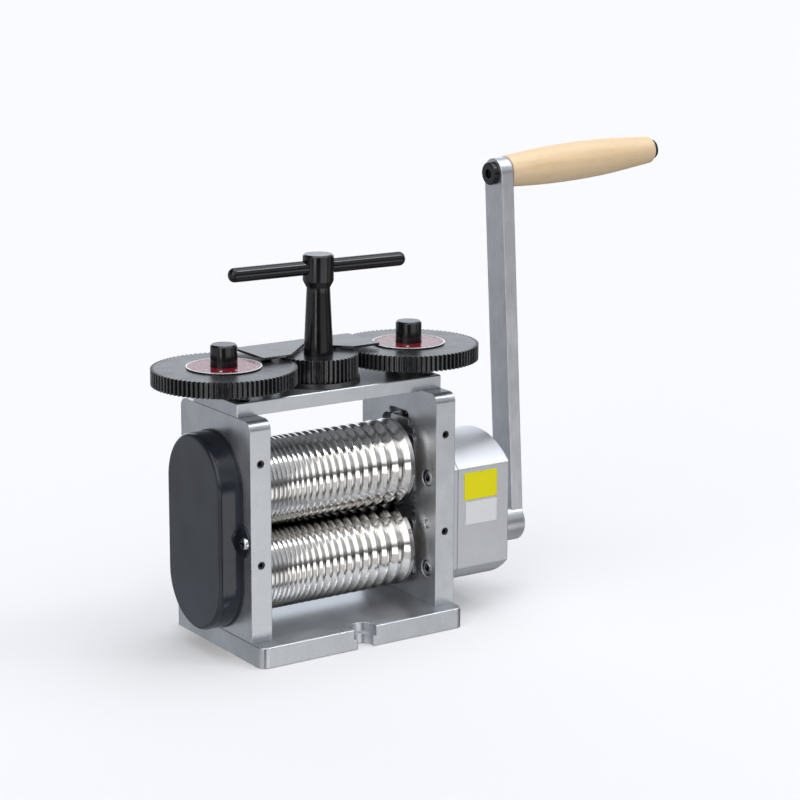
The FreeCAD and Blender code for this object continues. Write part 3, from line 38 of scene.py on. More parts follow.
# ------------------------------------------------------------ node building
class Mat:
    """A material with one Principled shader and short ways to add nodes."""

    def __init__(self, name, colour=(0.5, 0.5, 0.5), metallic=0.0, rough=0.5,
                 ior=1.5, spec=0.5, coat=0.0, coat_rough=0.05):
        self.m = bpy.data.materials.new(name)
        self.m.use_nodes = True
        self.t = self.m.node_tree
        self.t.nodes.clear()
        self.out = self.t.nodes.new("ShaderNodeOutputMaterial")
        self.p = self.t.nodes.new("ShaderNodeBsdfPrincipled")
        self.t.links.new(self.p.outputs["BSDF"], self.out.inputs["Surface"])
        self.p.inputs["Base Color"].default_value = (*colour, 1)
        self.p.inputs["Metallic"].default_value = metallic
        self.p.inputs["Roughness"].default_value = rough
        self.p.inputs["IOR"].default_value = ior
        self.p.inputs["Specular IOR Level"].default_value = spec
        self.p.inputs["Coat Weight"].default_value = coat
        self.p.inputs["Coat Roughness"].default_value = coat_rough
        self.m.diffuse_color = (*colour, 1)

    def new(self, kind, **values):
        n = self.t.nodes.new("ShaderNode" + kind)
        for k, v in values.items():
            if hasattr(n, k):
                setattr(n, k, v)
            else:
                n.inputs[k.replace("_", " ")].default_value = v
        return n

    def link(self, a, b):
        self.t.links.new(a, b)

    def coords(self, scale=(1, 1, 1), rot=(0, 0, 0), at=(0, 0, 0)):
        c = self.new("TexCoord")
        mp = self.new("Mapping")
        mp.inputs["Scale"].default_value = scale
        mp.inputs["Rotation"].default_value = rot
        mp.inputs["Location"].default_value = at
        self.link(c.outputs["Object"], mp.inputs["Vector"])
        return mp.outputs["Vector"]

    def noise(self, vector, scale=5.0, detail=4.0, rough=0.55, distortion=0.0):
        n = self.new("TexNoise")
        n.inputs["Scale"].default_value = scale
        n.inputs["Detail"].default_value = detail
        n.inputs["Roughness"].default_value = rough
        n.inputs["Distortion"].default_value = distortion
        self.link(vector, n.inputs["Vector"])
        return n.outputs["Fac"]

    def ramp(self, value, stops):
        r = self.new("ValToRGB")
        e = r.color_ramp.elements
        while len(e) > 1:
            e.remove(e[-1])
        for i, (pos, col) in enumerate(stops):
            el = e[0] if i == 0 else e.new(pos)
            el.position = pos
            el.color = (*col, 1) if isinstance(col, tuple) else (col, col, col, 1)
        self.link(value, r.inputs["Fac"])
        return r.outputs["Color"]

    def rng(self, value, a, b, c, d):
        r = self.new("MapRange")
        for i, v in enumerate((a, b, c, d)):
            r.inputs[1 + i].default_value = v
        self.link(value, r.inputs[0])
        return r.outputs[0]

    def math(self, op, a, b=None, clamp=False):
        n = self.new("Math", operation=op, use_clamp=clamp)
        for i, v in enumerate((a, b)):
            if v is None:
                continue
            if isinstance(v, (int, float)):
                n.inputs[i].default_value = v
            else:
                self.link(v, n.inputs[i])
        return n.outputs[0]

    def mix(self, fac, a, b, mode="MIX"):
        n = self.new("Mix", data_type="RGBA", blend_type=mode)
        for sock, v in ((n.inputs[0], fac), (n.inputs[6], a), (n.inputs[7], b)):
            if isinstance(v, (int, float)):
                sock.default_value = v
            elif isinstance(v, tuple):
                sock.default_value = (*v, 1)
            else:
                self.link(v, sock)
        return n.outputs[2]

    def bump(self, height, strength=0.2, distance=0.0002, normal=None):
        n = self.new("Bump")
        n.inputs["Strength"].default_value = strength
        n.inputs["Distance"].default_value = distance
        self.link(height, n.inputs["Height"])
        if normal is not None:
            self.link(normal, n.inputs["Normal"])
        return n.outputs["Normal"]

    def bevel(self, radius, samples=4):
        n = self.new("Bevel", samples=samples)
        n.inputs["Radius"].default_value = radius
        return n.outputs["Normal"]

    def edge(self, radius, low=0.0, high=0.25, samples=4):
        """0 on flat ground, 1 on a rounded corner of that radius."""
        b = self.bevel(radius, samples)
        g = self.new("NewGeometry")
        d = self.new("VectorMath", operation="DOT_PRODUCT")
        self.link(b, d.inputs[0])
        self.link(g.outputs["Normal"], d.inputs[1])
        one = self.math("SUBTRACT", 1.0, d.outputs["Value"])
        return self.rng(one, low, high, 0.0, 1.0), b

    def cavity(self, distance, low, high, samples=6):
        """1 deep in a corner, hole or seam, 0 on open ground."""
        n = self.new("AmbientOcclusion", samples=samples)
        n.inputs["Distance"].default_value = distance
        return self.rng(n.outputs["AO"], low, high, 1.0, 0.0)

    def base(self, sock):
        self.link(sock, self.p.inputs["Base Color"])

    def rough(self, sock):
        self.link(sock, self.p.inputs["Roughness"])

    def normal(self, sock):
        self.link(sock, self.p.inputs["Normal"])


def satin_plate(name, colour, rough, grain=(1, 1, 1), wear=0.6, chips=False, radius=0.0006):
    """Silver plated or painted ground plate: soft cloudy gloss, bright worn edges, painted shade in
    corners, holes and seams.
    """
    m = Mat(name, colour, metallic=0.85, rough=rough)
    v = m.coords()
    cloud = m.noise(v, 38.0, 5.0, 0.6)
    fine = m.noise(m.coords(grain), 900.0, 3.0, 0.6)
    edge, soft = m.edge(radius, 0.01, 0.2)
    dark = tuple(c * 0.80 for c in colour)
    light = tuple(min(1.0, c * 1.10) for c in colour)
    body = m.mix(m.rng(cloud, 0.35, 0.68, 0.0, 1.0), dark, light)
    body = m.mix(m.rng(fine, 0.3, 0.7, 0.0, 0.30), body, tuple(c * 0.72 for c in colour))
    patch = m.rng(m.noise(v, 160.0, 6.0, 0.7), 0.42, 0.6, 0.25, 1.0)
    worn = m.math("MULTIPLY", edge, patch)
    body = m.mix(m.math("MULTIPLY", worn, wear), body, (0.90, 0.91, 0.93))
    if chips:
        speck = m.rng(m.noise(v, 420.0, 3.0, 0.6), 0.60, 0.66, 0.0, 1.0)
        speck = m.math("MULTIPLY", speck, m.rng(edge, 0.3, 0.8, 0.0, 1.0))
        body = m.mix(m.math("MULTIPLY", speck, 0.85), body, (0.03, 0.03, 0.035))
    # painted shade: near black mixed in deep in corners, holes and seams
    body = m.mix(m.math("MULTIPLY", m.cavity(0.0010, 0.30, 0.62), 0.85), body, (0.035, 0.035, 0.04))
    m.base(body)
    m.rough(m.rng(cloud, 0.3, 0.7, rough - 0.05, rough + 0.07))
    m.normal(m.bump(fine, 0.10, 0.00006, soft))
    return m.m


def black_oxide(name, colour, rough, radius=0.0005, bump=0.06, worn=0.25, ior=1.6):
    """Blackened steel: almost black, oily gloss, a little bare metal on edges."""
    m = Mat(name, colour, metallic=0.0, rough=rough, ior=ior, spec=0.6)
    v = m.coords()
    cloud = m.noise(v, 70.0, 5.0, 0.6)
    fine = m.noise(v, 1400.0, 2.0, 0.5)
    edge, soft = m.edge(radius, 0.02, 0.3)
    body = m.mix(m.rng(cloud, 0.3, 0.7, 0.0, 1.0), tuple(c * 0.7 for c in colour),
                 tuple(c * 1.5 for c in colour))
    nick = m.rng(m.noise(v, 260.0, 5.0, 0.7), 0.50, 0.62, 0.0, 1.0)
    body = m.mix(m.math("MULTIPLY", m.math("MULTIPLY", edge, nick), worn), body,
                 (0.35, 0.35, 0.37))
    m.base(body)
    m.rough(m.rng(cloud, 0.3, 0.7, rough - 0.05, rough + 0.08))
    m.normal(m.bump(fine, bump, 0.00005, soft))
    return m.m


def roll_metal(name, axis_height):
    """Polished roll: turned rings round the axis, warm nickel tone, painted shade in the grooves
    and where the rolls meet.
    """
    m = Mat(name, (0.87, 0.86, 0.84), metallic=1.0, rough=0.10)
    c = m.new("TexCoord")
    s = m.new("SeparateXYZ")
    m.link(c.outputs["Object"], s.inputs[0])
    z = m.math("SUBTRACT", s.outputs["Z"], axis_height)
    # radius and angle about the roll's axis
    rr = m.math("SQRT", m.math("ADD", m.math("MULTIPLY", z, z),
                               m.math("MULTIPLY", s.outputs["Y"], s.outputs["Y"])))
    ang = m.math("ARCTAN2", z, s.outputs["Y"])
    # fine turning lines: quick along X, slow round the roll
    comb = m.new("CombineXYZ")
    m.link(m.math("MULTIPLY", s.outputs["X"], 5200.0), comb.inputs["X"])
    m.link(m.math("MULTIPLY", ang, 2.2), comb.inputs["Y"])
    m.link(m.math("MULTIPLY", rr, 5200.0), comb.inputs["Z"])
    lines = m.noise(comb.outputs[0], 1.0, 3.0, 0.6)
    comb2 = m.new("CombineXYZ")
    m.link(m.math("MULTIPLY", s.outputs["X"], 1100.0), comb2.inputs["X"])
    m.link(m.math("MULTIPLY", ang, 9.0), comb2.inputs["Y"])
    m.link(m.math("MULTIPLY", rr, 1100.0), comb2.inputs["Z"])
    scuff = m.noise(comb2.outputs[0], 1.0, 5.0, 0.65)
    spots = m.noise(m.coords(), 130.0, 6.0, 0.65)
    body = m.mix(m.rng(spots, 0.35, 0.7, 0.0, 0.55), (0.81, 0.795, 0.77), (0.60, 0.58, 0.55))
    body = m.mix(m.rng(scuff, 0.42, 0.72, 0.0, 0.35), body, (0.36, 0.34, 0.31))
    # painted shade: darker in the bottoms of the grooves (partly old oil there), and darker where
    # the rolls meet
    body = m.mix(m.math("MULTIPLY", m.cavity(0.0014, 0.22, 0.58), 0.90), body, (0.05, 0.048, 0.045))
    body = m.mix(m.math("MULTIPLY", m.cavity(0.014, 0.10, 0.46), 0.85), body, (0.09, 0.085, 0.08))
    m.base(body)
    rg = m.rng(scuff, 0.3, 0.75, 0.07, 0.20)
    m.rough(rg)
    _, soft = m.edge(0.00018, 0.0, 0.3)
    m.normal(m.bump(lines, 0.14, 0.00002, soft))
    return m.m


def silver_paint(name, colour=(0.64, 0.655, 0.68)):
    """Metallic silver paint over a casting: fine flake and slight orange peel."""
    m = Mat(name, colour, metallic=0.75, rough=0.36, coat=0.20, coat_rough=0.18)
    v = m.coords()
    flake = m.new("TexVoronoi")
    flake.inputs["Scale"].default_value = 2600.0
    m.link(v, flake.inputs["Vector"])
    sep = m.new("SeparateColor")
    m.link(flake.outputs["Color"], sep.inputs[0])
    cloud = m.noise(v, 30.0, 4.0, 0.55)
    body = m.mix(m.rng(sep.outputs[0], 0.0, 1.0, 0.0, 0.30), colour,
                 tuple(min(1, c * 1.3) for c in colour))
    body = m.mix(m.rng(cloud, 0.35, 0.7, 0.0, 0.25), body, tuple(c * 0.8 for c in colour))
    edge, soft = m.edge(0.0007, 0.02, 0.25)
    body = m.mix(m.math("MULTIPLY", edge, 0.35), body, (0.86, 0.87, 0.89))
    m.base(body)
    m.rough(m.rng(sep.outputs[1], 0.0, 1.0, 0.32, 0.46))
    peel = m.noise(v, 420.0, 2.0, 0.5)
    m.normal(m.bump(peel, 0.10, 0.00008, soft))
    return m.m


def brushed_steel(name, colour, rough, stretch=(1, 1, 1), metallic=0.9):
    m = Mat(name, colour, metallic=metallic, rough=rough)
    lines = m.noise(m.coords(stretch), 160.0, 4.0, 0.6)
    cloud = m.noise(m.coords(), 45.0, 5.0, 0.6)
    edge, soft = m.edge(0.0005, 0.02, 0.25)
    body = m.mix(m.rng(cloud, 0.3, 0.7, 0.0, 1.0), tuple(c * 0.85 for c in colour),
                 tuple(min(1, c * 1.08) for c in colour))
    body = m.mix(m.rng(lines, 0.35, 0.7, 0.0, 0.35), body, tuple(c * 0.7 for c in colour))
    body = m.mix(m.math("MULTIPLY", edge, 0.6), body, (0.93, 0.94, 0.95))
    m.base(body)
    m.rough(m.rng(lines, 0.3, 0.7, rough - 0.04, rough + 0.08))
    m.normal(m.bump(lines, 0.10, 0.00004, soft))
    return m.m


def zinc_head(name):
    """Bright zinc screw head, with painted shade: black in the socket, slots and the gap round it.
    """
    m = Mat(name, (0.80, 0.81, 0.83), metallic=1.0, rough=0.20)
    v = m.coords()
    cloud = m.noise(v, 120.0, 4.0, 0.6)
    edge, soft = m.edge(0.00025, 0.02, 0.25)
    body = m.mix(m.rng(cloud, 0.3, 0.7, 0.0, 1.0), (0.68, 0.69, 0.71), (0.86, 0.87, 0.89))
    body = m.mix(m.math("MULTIPLY", edge, 0.6), body, (0.95, 0.95, 0.96))
    # painted shade: near black in the socket, slots and the gap round the head
    body = m.mix(m.cavity(0.0030, 0.50, 0.82), body, (0.012, 0.012, 0.013))
    m.base(body)
    m.rough(m.rng(cloud, 0.3, 0.7, 0.15, 0.28))
    m.normal(soft)
    return m.m


def plain_paint(name, colour, rough, coat=0.0, mottle=0.12, spec=0.5, radius=0.0004,
                metallic=0.0):
    m = Mat(name, colour, metallic=metallic, rough=rough, coat=coat, coat_rough=0.08, spec=spec)
    v = m.coords()
    cloud = m.noise(v, 60.0, 4.0, 0.55)
    body = m.mix(m.rng(cloud, 0.3, 0.7, 0.0, 1.0), tuple(c * (1 - mottle) for c in colour),
                 tuple(min(1, c * (1 + mottle)) for c in colour))
    m.base(body)
    m.rough(m.rng(cloud, 0.3, 0.7, rough - 0.04, rough + 0.05))
    m.normal(m.bump(m.noise(v, 700.0, 2.0, 0.5), 0.06, 0.00005, m.bevel(radius)))
    return m.m


def cover_black(name):
    """Black stove enamel, a soft slate sheen with finely pebbled gloss."""
    m = Mat(name, (0.020, 0.023, 0.030), rough=0.16, ior=1.42, spec=0.5, coat=0.22,
            coat_rough=0.04)
    v = m.coords()
    cloud = m.noise(v, 28.0, 4.0, 0.5)
    body = m.mix(m.rng(cloud, 0.3, 0.7, 0.0, 1.0), (0.014, 0.0165, 0.023), (0.032, 0.038, 0.051))
    speck = m.rng(m.noise(v, 900.0, 2.0, 0.5), 0.70, 0.76, 0.0, 0.5)
    body = m.mix(speck, body, (0.10, 0.11, 0.13))
    m.base(body)
    m.rough(m.rng(cloud, 0.3, 0.7, 0.13, 0.20))
    m.normal(m.bump(m.noise(v, 500.0, 2.0, 0.5), 0.04, 0.00005, m.bevel(0.0003)))
    return m.m


def maple(name, at, axis):
    """Turned light hardwood: long grain along the handle, pores and a thin varnish."""
    m = Mat(name, (0.78, 0.56, 0.33), rough=0.45, coat=0.12, coat_rough=0.25)
    c = m.new("TexCoord")
    sub = m.new("VectorMath", operation="SUBTRACT")
    m.link(c.outputs["Object"], sub.inputs[0])
    sub.inputs[1].default_value = at
    vr = m.new("VectorRotate", rotation_type="Y_AXIS")
    m.link(sub.outputs[0], vr.inputs["Vector"])
    vr.inputs["Angle"].default_value = math.atan2(axis[2], axis[0])
    mp = m.new("Mapping")
    mp.inputs["Scale"].default_value = (5.0, 95.0, 95.0)
    m.link(vr.outputs[0], mp.inputs["Vector"])
    rings = m.noise(mp.outputs[0], 1.0, 5.0, 0.6, 0.6)
    mp2 = m.new("Mapping")
    mp2.inputs["Scale"].default_value = (60.0, 1500.0, 1500.0)
    m.link(vr.outputs[0], mp2.inputs["Vector"])
    pores = m.noise(mp2.outputs[0], 1.0, 2.0, 0.5)
    blotch = m.noise(m.coords(), 26.0, 3.0, 0.5)
    body = m.ramp(rings, [(0.25, (0.98, 0.75, 0.47)), (0.5, (0.95, 0.70, 0.42)),
                          (0.72, (0.86, 0.59, 0.33))])
    body = m.mix(m.rng(blotch, 0.35, 0.7, 0.0, 0.35), body, (0.99, 0.78, 0.52))
    body = m.mix(m.rng(pores, 0.56, 0.72, 0.0, 0.35), body, (0.66, 0.45, 0.26))
    m.base(body)
    m.rough(m.rng(pores, 0.4, 0.7, 0.38, 0.55))
    m.normal(m.bump(pores, 0.12, 0.00006, m.bevel(0.0005)))
    return m.m


def dial_enamel(name):
    """Deep red gloss enamel on the dial discs, black outside the printed rim as a painted shadow at
    the disc's edge.
    """
    m = Mat(name, (0.22, 0.008, 0.018), rough=0.12, coat=0.35, coat_rough=0.05)
    c = m.new("TexCoord")
    s = m.new("SeparateXYZ")
    m.link(c.outputs["Object"], s.inputs[0])
    x = m.math("SUBTRACT", m.math("ABSOLUTE", s.outputs["X"]), 0.068)
    r = m.math("SQRT", m.math("ADD", m.math("MULTIPLY", x, x),
                              m.math("MULTIPLY", s.outputs["Y"], s.outputs["Y"])))
    v = m.coords()
    cloud = m.noise(v, 90.0, 4.0, 0.6)
    body = m.mix(m.rng(cloud, 0.3, 0.7, 0.0, 1.0), (0.19, 0.007, 0.015), (0.28, 0.010, 0.023))
    # painted shadow: black outside the printed rim, along the disc's edge
    body = m.mix(m.rng(r, 0.0231, 0.0233, 0.0, 1.0), body, (0.006, 0.006, 0.007))
    m.base(body)
    m.rough(m.rng(m.noise(v, 300.0, 4.0, 0.6), 0.3, 0.7, 0.09, 0.18))
    m.normal(m.bump(m.noise(v, 500.0, 2.0, 0.5), 0.03, 0.00003, m.bevel(0.0002)))
    return m.m


def bronze(name):
    return brushed_steel(name, (0.62, 0.43, 0.20), 0.30, metallic=1.0)


LOW, HIGH = 0.0464, 0.1015
GRIP_AT = (0.13338, 0.0, 0.28138)
GRIP_AXIS = (math.cos(math.radians(3)), 0.0, math.sin(math.radians(3)))

SILVER = (0.665, 0.685, 0.715)
MATERIALS = {
    "side": satin_plate("side_plate_silver", SILVER, 0.30),
    # the base and top plates reuse the side plates' silver set darker: painted shade
    "base": satin_plate("base_plate_silver", (0.61, 0.63, 0.66), 0.31, chips=True, radius=0.0008),
    "top": satin_plate("top_plate_silver", (0.64, 0.66, 0.69), 0.29),
    "roll_low": roll_metal("roll_polished_lower", LOW),
    "roll_high": roll_metal("roll_polished_upper", HIGH),
    "steel": brushed_steel("machined_steel", (0.55, 0.56, 0.58), 0.30),
    "bright": zinc_head("bright_zinc"),
    "gloss_black": black_oxide("black_oxide_gloss", (0.005, 0.005, 0.006), 0.13, ior=1.45),
    "gear_black": black_oxide("black_oxide_satin", (0.008, 0.0085, 0.010), 0.26, radius=0.0003,
                              bump=0.10, worn=0.80, ior=1.72),
    "sheet_black": black_oxide("black_oxide_sheet", (0.010, 0.011, 0.013), 0.20, ior=1.8),
    "cover": cover_black("cover_enamel"),
    "paint": silver_paint("gearbox_silver_paint"),
    "crank": brushed_steel("crank_plating", (0.68, 0.695, 0.72), 0.32, (6, 6, 0.6)),
    "bronze": bronze("bearing_bronze"),
    "maple": maple("maple_varnished", GRIP_AT, GRIP_AXIS),
    "red": dial_enamel("dial_red"),
    "white": plain_paint("dial_white", (0.86, 0.86, 0.86), 0.3, mottle=0.04),
    "yellow": plain_paint("foil_yellow", (1.0, 0.90, 0.008), 0.30, mottle=0.03, metallic=0.6),
    "foil": plain_paint("foil_white", (0.90, 0.91, 0.93), 0.32, mottle=0.03, metallic=0.5),
    "foil_edge": plain_paint("foil_edge", (0.30, 0.26, 0.10), 0.4),
}

WEAR = {
    "side": ["right_side_plate", "left_side_plate"],
    "base": ["base_plate"],
    "top": ["top_plate"],
    "roll_low": ["lower_roll"],
    "roll_high": ["upper_roll"],
    "steel": ["left_lower_block", "right_lower_block", "left_upper_block", "right_upper_block",
              "pressure_pads", "lift_springs", "lower_coupling_gear", "upper_coupling_gear",
              "upper_gear_key", "lower_shaft_keys", "output_gear", "layshaft",
              "layshaft_wheel", "input_shaft", "right_screw_key", "left_screw_key",
              "pinion_stud", "locating_dowels"],
    "bright": ["gearbox_cap_screws", "gear_cover_screws"],
    "gloss_black": ["base_screws", "top_plate_screws",
                    "oilway_grub_screws", "upper_gear_ring", "lower_shaft_rings",
                    "right_pressure_screw", "left_pressure_screw", "pinion_retaining_ring",
                    "t_handle_column", "t_handle_bar", "index_plate_pillars",
                    "crank_set_screw", "handle_bolt", "handle_end_nut"],
    "gear_black": ["right_screw_gear", "left_screw_gear", "screwdown_pinion",
                   "gear_spacer_washers"],
    "sheet_black": ["index_plate"],
    "cover": ["gear_cover"],
    "paint": ["gearbox_flange", "gearbox_housing"],
    "crank": ["crank_arm", "crank_boss"],
    "bronze": ["lower_bushes", "upper_bushes", "lower_thrust_washers", "upper_thrust_washers",
               "gearbox_bushes"],
    "maple": ["handle_grip"],
    "red": ["right_dial", "left_dial"],
    "yellow": ["yellow_foil"],
    "foil": ["white_foil"],
}


def smooth(obj, angle=32.0):
    """Weld the tessellation and shade it smooth except across real edges."""
    w = obj.modifiers.new("weld", "WELD")
    w.merge_threshold = 2e-6
    e = obj.modifiers.new("edges", "EDGE_SPLIT")
    e.split_angle = math.radians(angle)
    e.use_edge_sharp = False
    n = obj.modifiers.new("normals", "WEIGHTED_NORMAL")
    n.mode = "FACE_AREA"
    n.weight = 60
    n.keep_sharp = False
    for p in obj.data.polygons:
        p.use_smooth = True


for key, names in WEAR.items():
    for n in names:
        o = NODES[n]
        o.data.materials.clear()
        o.data.materials.append(MATERIALS[key])
        smooth(o, 20.0 if n.endswith("_roll") else 32.0)
dressed = [n for names in WEAR.values() for n in names]
left_out = sorted(set(NODES) - set(dressed))
if left_out:
    raise RuntimeError("no material for %s" % left_out)


# ------------------------------------------------------------ detail pieces
def new_mesh(name, verts, faces, material, body, slot=None, smooth_it=False):
    me = bpy.data.meshes.new(name)
    me.from_pydata(verts, [], faces)
    me.validate()
    me.update()
    o = bpy.data.objects.new(name, me)
    scene.collection.objects.link(o)
    me.materials.append(material)
    if smooth_it:
        for p in me.polygons:
            p.use_smooth = True
    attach(o, body)
    return o


def ring_band(bm, cx, cy, z, r0, r1, a0, a1, steps, thick, mat=0):
    """A flat annular sector standing proud of z by thick, added to bm."""
    lo, hi = [], []
    full = abs(a1 - a0) >= 2 * math.pi - 1e-6
    n = steps if full else steps + 1
    for i in range(n):
        a = a0 + (a1 - a0) * i / steps
        c, s = math.cos(a), math.sin(a)
        lo.append((bm.verts.new((cx + r0 * c, cy + r0 * s, z)),
                   bm.verts.new((cx + r1 * c, cy + r1 * s, z))))
        hi.append((bm.verts.new((cx + r0 * c, cy + r0 * s, z + thick)),
                   bm.verts.new((cx + r1 * c, cy + r1 * s, z + thick))))
    for i in range(steps):
        j = (i + 1) % n
        quads = [(hi[i][0], hi[i][1], hi[j][1], hi[j][0]),
                 (lo[i][0], lo[j][0], lo[j][1], lo[i][1]),
                 (lo[i][0], hi[i][0], hi[j][0], lo[j][0]),
                 (lo[i][1], lo[j][1], hi[j][1], hi[i][1])]
        for q in quads:
            bm.faces.new(q).material_index = mat
    if not full:
        for k in (0, n - 1):
            q = (lo[k][0], lo[k][1], hi[k][1], hi[k][0])
            bm.faces.new(q if k == 0 else q[::-1]).material_index = mat


def dial_face(name, cx, body, turn):
    """White rim, division marks and plain numbers 0 to 9 on the red disc."""
    z = 0.1780
    bm = bmesh.new()
    ring_band(bm, cx, 0, z - 0.0001, 0.02235, 0.02338, 0, 2 * math.pi, 128, 0.00022)
    for i in range(100):
        a = turn + 2 * math.pi * i / 100
        long = 0.0036 if i % 10 == 0 else (0.0027 if i % 5 == 0 else 0.0018)
        half = 0.00016 / 0.0205
        ring_band(bm, cx, 0, z - 0.0001, 0.0219 - long, 0.0219, a - half, a + half, 1, 0.00018)
    me = bpy.data.meshes.new(name)
    bm.normal_update()
    bmesh.ops.recalc_face_normals(bm, faces=bm.faces)
    bm.to_mesh(me)
    bm.free()
    o = bpy.data.objects.new(name, me)
    scene.collection.objects.link(o)
    me.materials.append(MATERIALS["white"])
    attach(o, body)
    parts = bmesh.new()
    for k in range(10):
        cu = bpy.data.curves.new("digit", "FONT")
        cu.body = str(k)
        cu.size = 0.0046
        cu.align_x = "CENTER"
        cu.align_y = "CENTER"
        cu.extrude = 0.00009
        cu.resolution_u = 3
        tmp = bpy.data.objects.new("digit", cu)
        scene.collection.objects.link(tmp)
        bpy.context.view_layer.update()
        dg = bpy.context.evaluated_depsgraph_get()
        mm = bpy.data.meshes.new_from_object(tmp.evaluated_get(dg))
        a = turn + 2 * math.pi * k / 10
        mat = (Matrix.Translation((cx + 0.0158 * math.cos(a), 0.0158 * math.sin(a), z + 0.00001))
               @ Matrix.Rotation(a - math.pi / 2, 4, "Z"))
        mm.transform(mat)
        parts.from_mesh(mm)
        bpy.data.objects.remove(tmp)
        bpy.data.curves.remove(cu)
        bpy.data.meshes.remove(mm)
    me = bpy.data.meshes.new(name + "_numbers")
    parts.to_mesh(me)
    parts.free()
    o = bpy.data.objects.new(name + "_numbers", me)
    scene.collection.objects.link(o)
    me.materials.append(MATERIALS["white"])
    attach(o, body)


dial_face("left_dial_marks", -0.068, "left_gear", math.radians(-90))
dial_face("right_dial_marks", 0.068, "right_gear", math.radians(-90))


# ------------------------------------------------------------------ the stage
FLOOR, FLOOR_GLOW = 0.76, 0.17
SKY_TINT = (0.95, 0.98, 1.04)
# (sine of the elevation, radiance)
SKY_BANDS = [(-1.0, 0.42), (-0.70, 0.42), (-0.59, 0.06), (0.0, 0.06), (0.14, 0.19),
             (0.28, 0.19), (0.41, 0.06), (0.88, 0.06), (0.94, 2.45), (1.0, 2.45)]
PLAIN, COOL = (1.0, 1.0, 1.01), (0.94, 0.99, 1.08)
PANELS = [
    # azimuth, height, wide, high, soft edge, colour, strength
    (-158, 30, 42, 50, 0.05, PLAIN, 1.40),     # tall softbox on the left
    (-50, 56, 42, 18, 0.05, PLAIN, 1.60),      # strip over the front
    (-55, 30, 44, 32, 0.06, COOL, 0.50),       # weaker front card
    (-10, 50, 38, 24, 0.08, COOL, 0.55),
    (-12, 30, 30, 18, 0.08, PLAIN, 0.95),
    (22, 60, 34, 18, 0.15, COOL, 1.60),        # high on the right
    (56, -2, 60, 26, 0.06, COOL, 1.25),        # bright backdrop
    (56, 24, 70, 22, 0.10, COOL, 1.20),
    (22, 1, 26, 14, 0.06, PLAIN, 1.90),
    (118, -2, 50, 20, 0.12, PLAIN, 0.30),
    (134, -22, 70, 26, 0.15, COOL, 0.38),      # table top, lit unevenly
    (-80, -20, 50, 26, 0.12, PLAIN, 1.34),
    (-34, -20, 26, 26, 0.08, PLAIN, 0.50),
    (-116, 36, 54, 46, 0.20, PLAIN, 0.70),     # fill from beside the camera
    (-146, -8, 13, 12, 0.03, PLAIN, 2.20),     # low card on the left
    (-40, 52, 10, 5, 0.02, PLAIN, 11.0),       # the strip's lamp
    (-160, -26, 50, 34, 0.15, PLAIN, 0.62),
    (166, -4, 40, 22, 0.15, PLAIN, 0.42),
]


bpy.ops.mesh.primitive_plane_add(size=60.0, location=(0, 0, -0.0003))
floor = bpy.context.object
floor.name = "floor"
fm = Mat("floor_white", (FLOOR * 0.995, FLOOR * 0.985, FLOOR * 0.990), rough=0.9, spec=0.0)
fm.p.inputs["Emission Color"].default_value = (1.0, 0.99, 1.0, 1)
fm.p.inputs["Emission Strength"].default_value = FLOOR_GLOW
floor.data.materials.append(fm.m)
floor.visible_glossy = False
floor.visible_diffuse = False
floor.visible_shadow = False

# a photographic tent: bright overhead, grey towards the horizon, soft panels
world = bpy.data.worlds.new("studio")
scene.world = world
world.use_nodes = True
sky = Mat.__new__(Mat)
sky.t = world.node_tree
sky.t.nodes.clear()
sky_out = sky.t.nodes.new("ShaderNodeOutputWorld")
sky_bg = sky.t.nodes.new("ShaderNodeBackground")
sky.link(sky_bg.outputs[0], sky_out.inputs[0])
sky_dir = sky.new("TexCoord").outputs["Generated"]
FULL = 5.0            # radiance of colour 1.0 in the tables below


def sky_dot(vec):
    n = sky.new("VectorMath", operation="DOT_PRODUCT")
    sky.link(sky_dir, n.inputs[0])
    n.inputs[1].default_value = vec
    return n.outputs["Value"]


def step(value, a, b):
    """0 at a, 1 at b, smooth between."""
    n = sky.new("MapRange", interpolation_type="SMOOTHSTEP")
    for i, v in enumerate((a, b, 0.0, 1.0)):
        n.inputs[1 + i].default_value = v
    sky.link(value, n.inputs[0])
    return n.outputs[0]


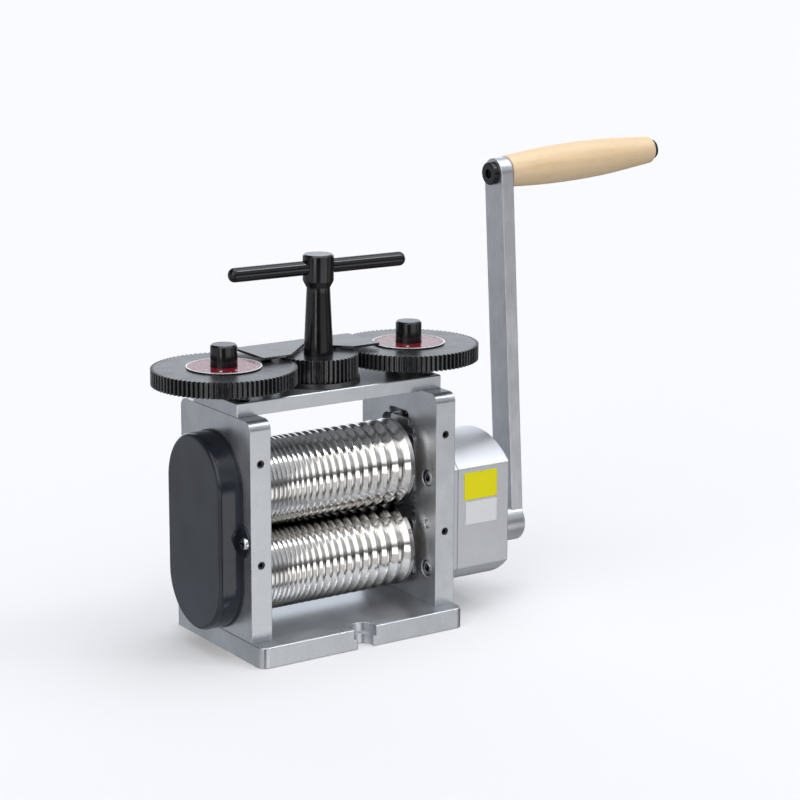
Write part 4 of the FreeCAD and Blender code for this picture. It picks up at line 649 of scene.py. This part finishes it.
def panel(total, az, el, wide, high, soft, colour, strength, tilt=0.0):
    """Add a soft edged rectangular panel; az 0 is +X, 90 is +Y, degrees."""
    a, e = math.radians(az), math.radians(el)
    c = Vector((math.cos(a) * math.cos(e), math.sin(a) * math.cos(e), math.sin(e)))
    u = Vector((-math.sin(a), math.cos(a), 0.0))
    v = c.cross(u)
    t = math.radians(tilt)
    u, v = u * math.cos(t) + v * math.sin(t), v * math.cos(t) - u * math.sin(t)
    near = sky.math("MAXIMUM", sky_dot(c), 0.02)
    mask = step(sky_dot(c), 0.03, 0.10)
    for axis, size in ((u, wide), (v, high)):
        off = sky.math("ABSOLUTE", sky.math("DIVIDE", sky_dot(axis), near))
        half = math.tan(math.radians(size) / 2)
        mask = sky.math("MULTIPLY", mask, step(off, half + soft, max(half - soft, 0.0)))
    lit = sky.mix(mask, (0.0, 0.0, 0.0), tuple(c * strength / FULL for c in colour))
    return sky.mix(1.0, total, lit, "ADD")


height = sky.rng(sky_dot((0, 0, 1)), -1.0, 1.0, 0.0, 1.0)
total = sky.ramp(height, [((z + 1) / 2, tuple(c * k / FULL for c in SKY_TINT))
                          for z, k in SKY_BANDS])
for spec in PANELS:
    total = panel(total, *spec)
# the panels light the object; behind it is a plain pale backdrop
seen = sky.new("LightPath").outputs["Is Camera Ray"]
sky.link(sky.mix(seen, total, tuple(c / FULL for c in (0.95, 0.96, 0.985))), sky_bg.inputs["Color"])
sky_bg.inputs["Strength"].default_value = FULL

# ----------------------------------------------------------------- the camera
az, el, roll = math.radians(-34.1363), math.radians(13.1082), math.radians(-0.2616)
back = Vector((math.sin(az) * math.cos(el), -math.cos(az) * math.cos(el), math.sin(el)))
fwd = -back
right = fwd.cross(Vector((0, 0, 1))).normalized()
up = right.cross(fwd).normalized()
cr, sr = math.cos(roll), math.sin(roll)
r2 = right * cr - up * sr
u2 = right * sr + up * cr
cam_data = bpy.data.cameras.new("camera")
cam_data.sensor_width = 36.0
cam_data.lens = 36.0 * 2364.4133 / 800.0
cam_data.clip_start = 0.01
cam_data.clip_end = 200.0
cam = bpy.data.objects.new("camera", cam_data)
scene.collection.objects.link(cam)
m3 = Matrix((r2, u2, -fwd)).transposed()
cam.matrix_world = Matrix.Translation((-0.7685, -1.2244, 0.4846)) @ m3.to_4x4()
scene.camera = cam
scene.view_settings.view_transform = "Standard"
scene.view_settings.look = "None"
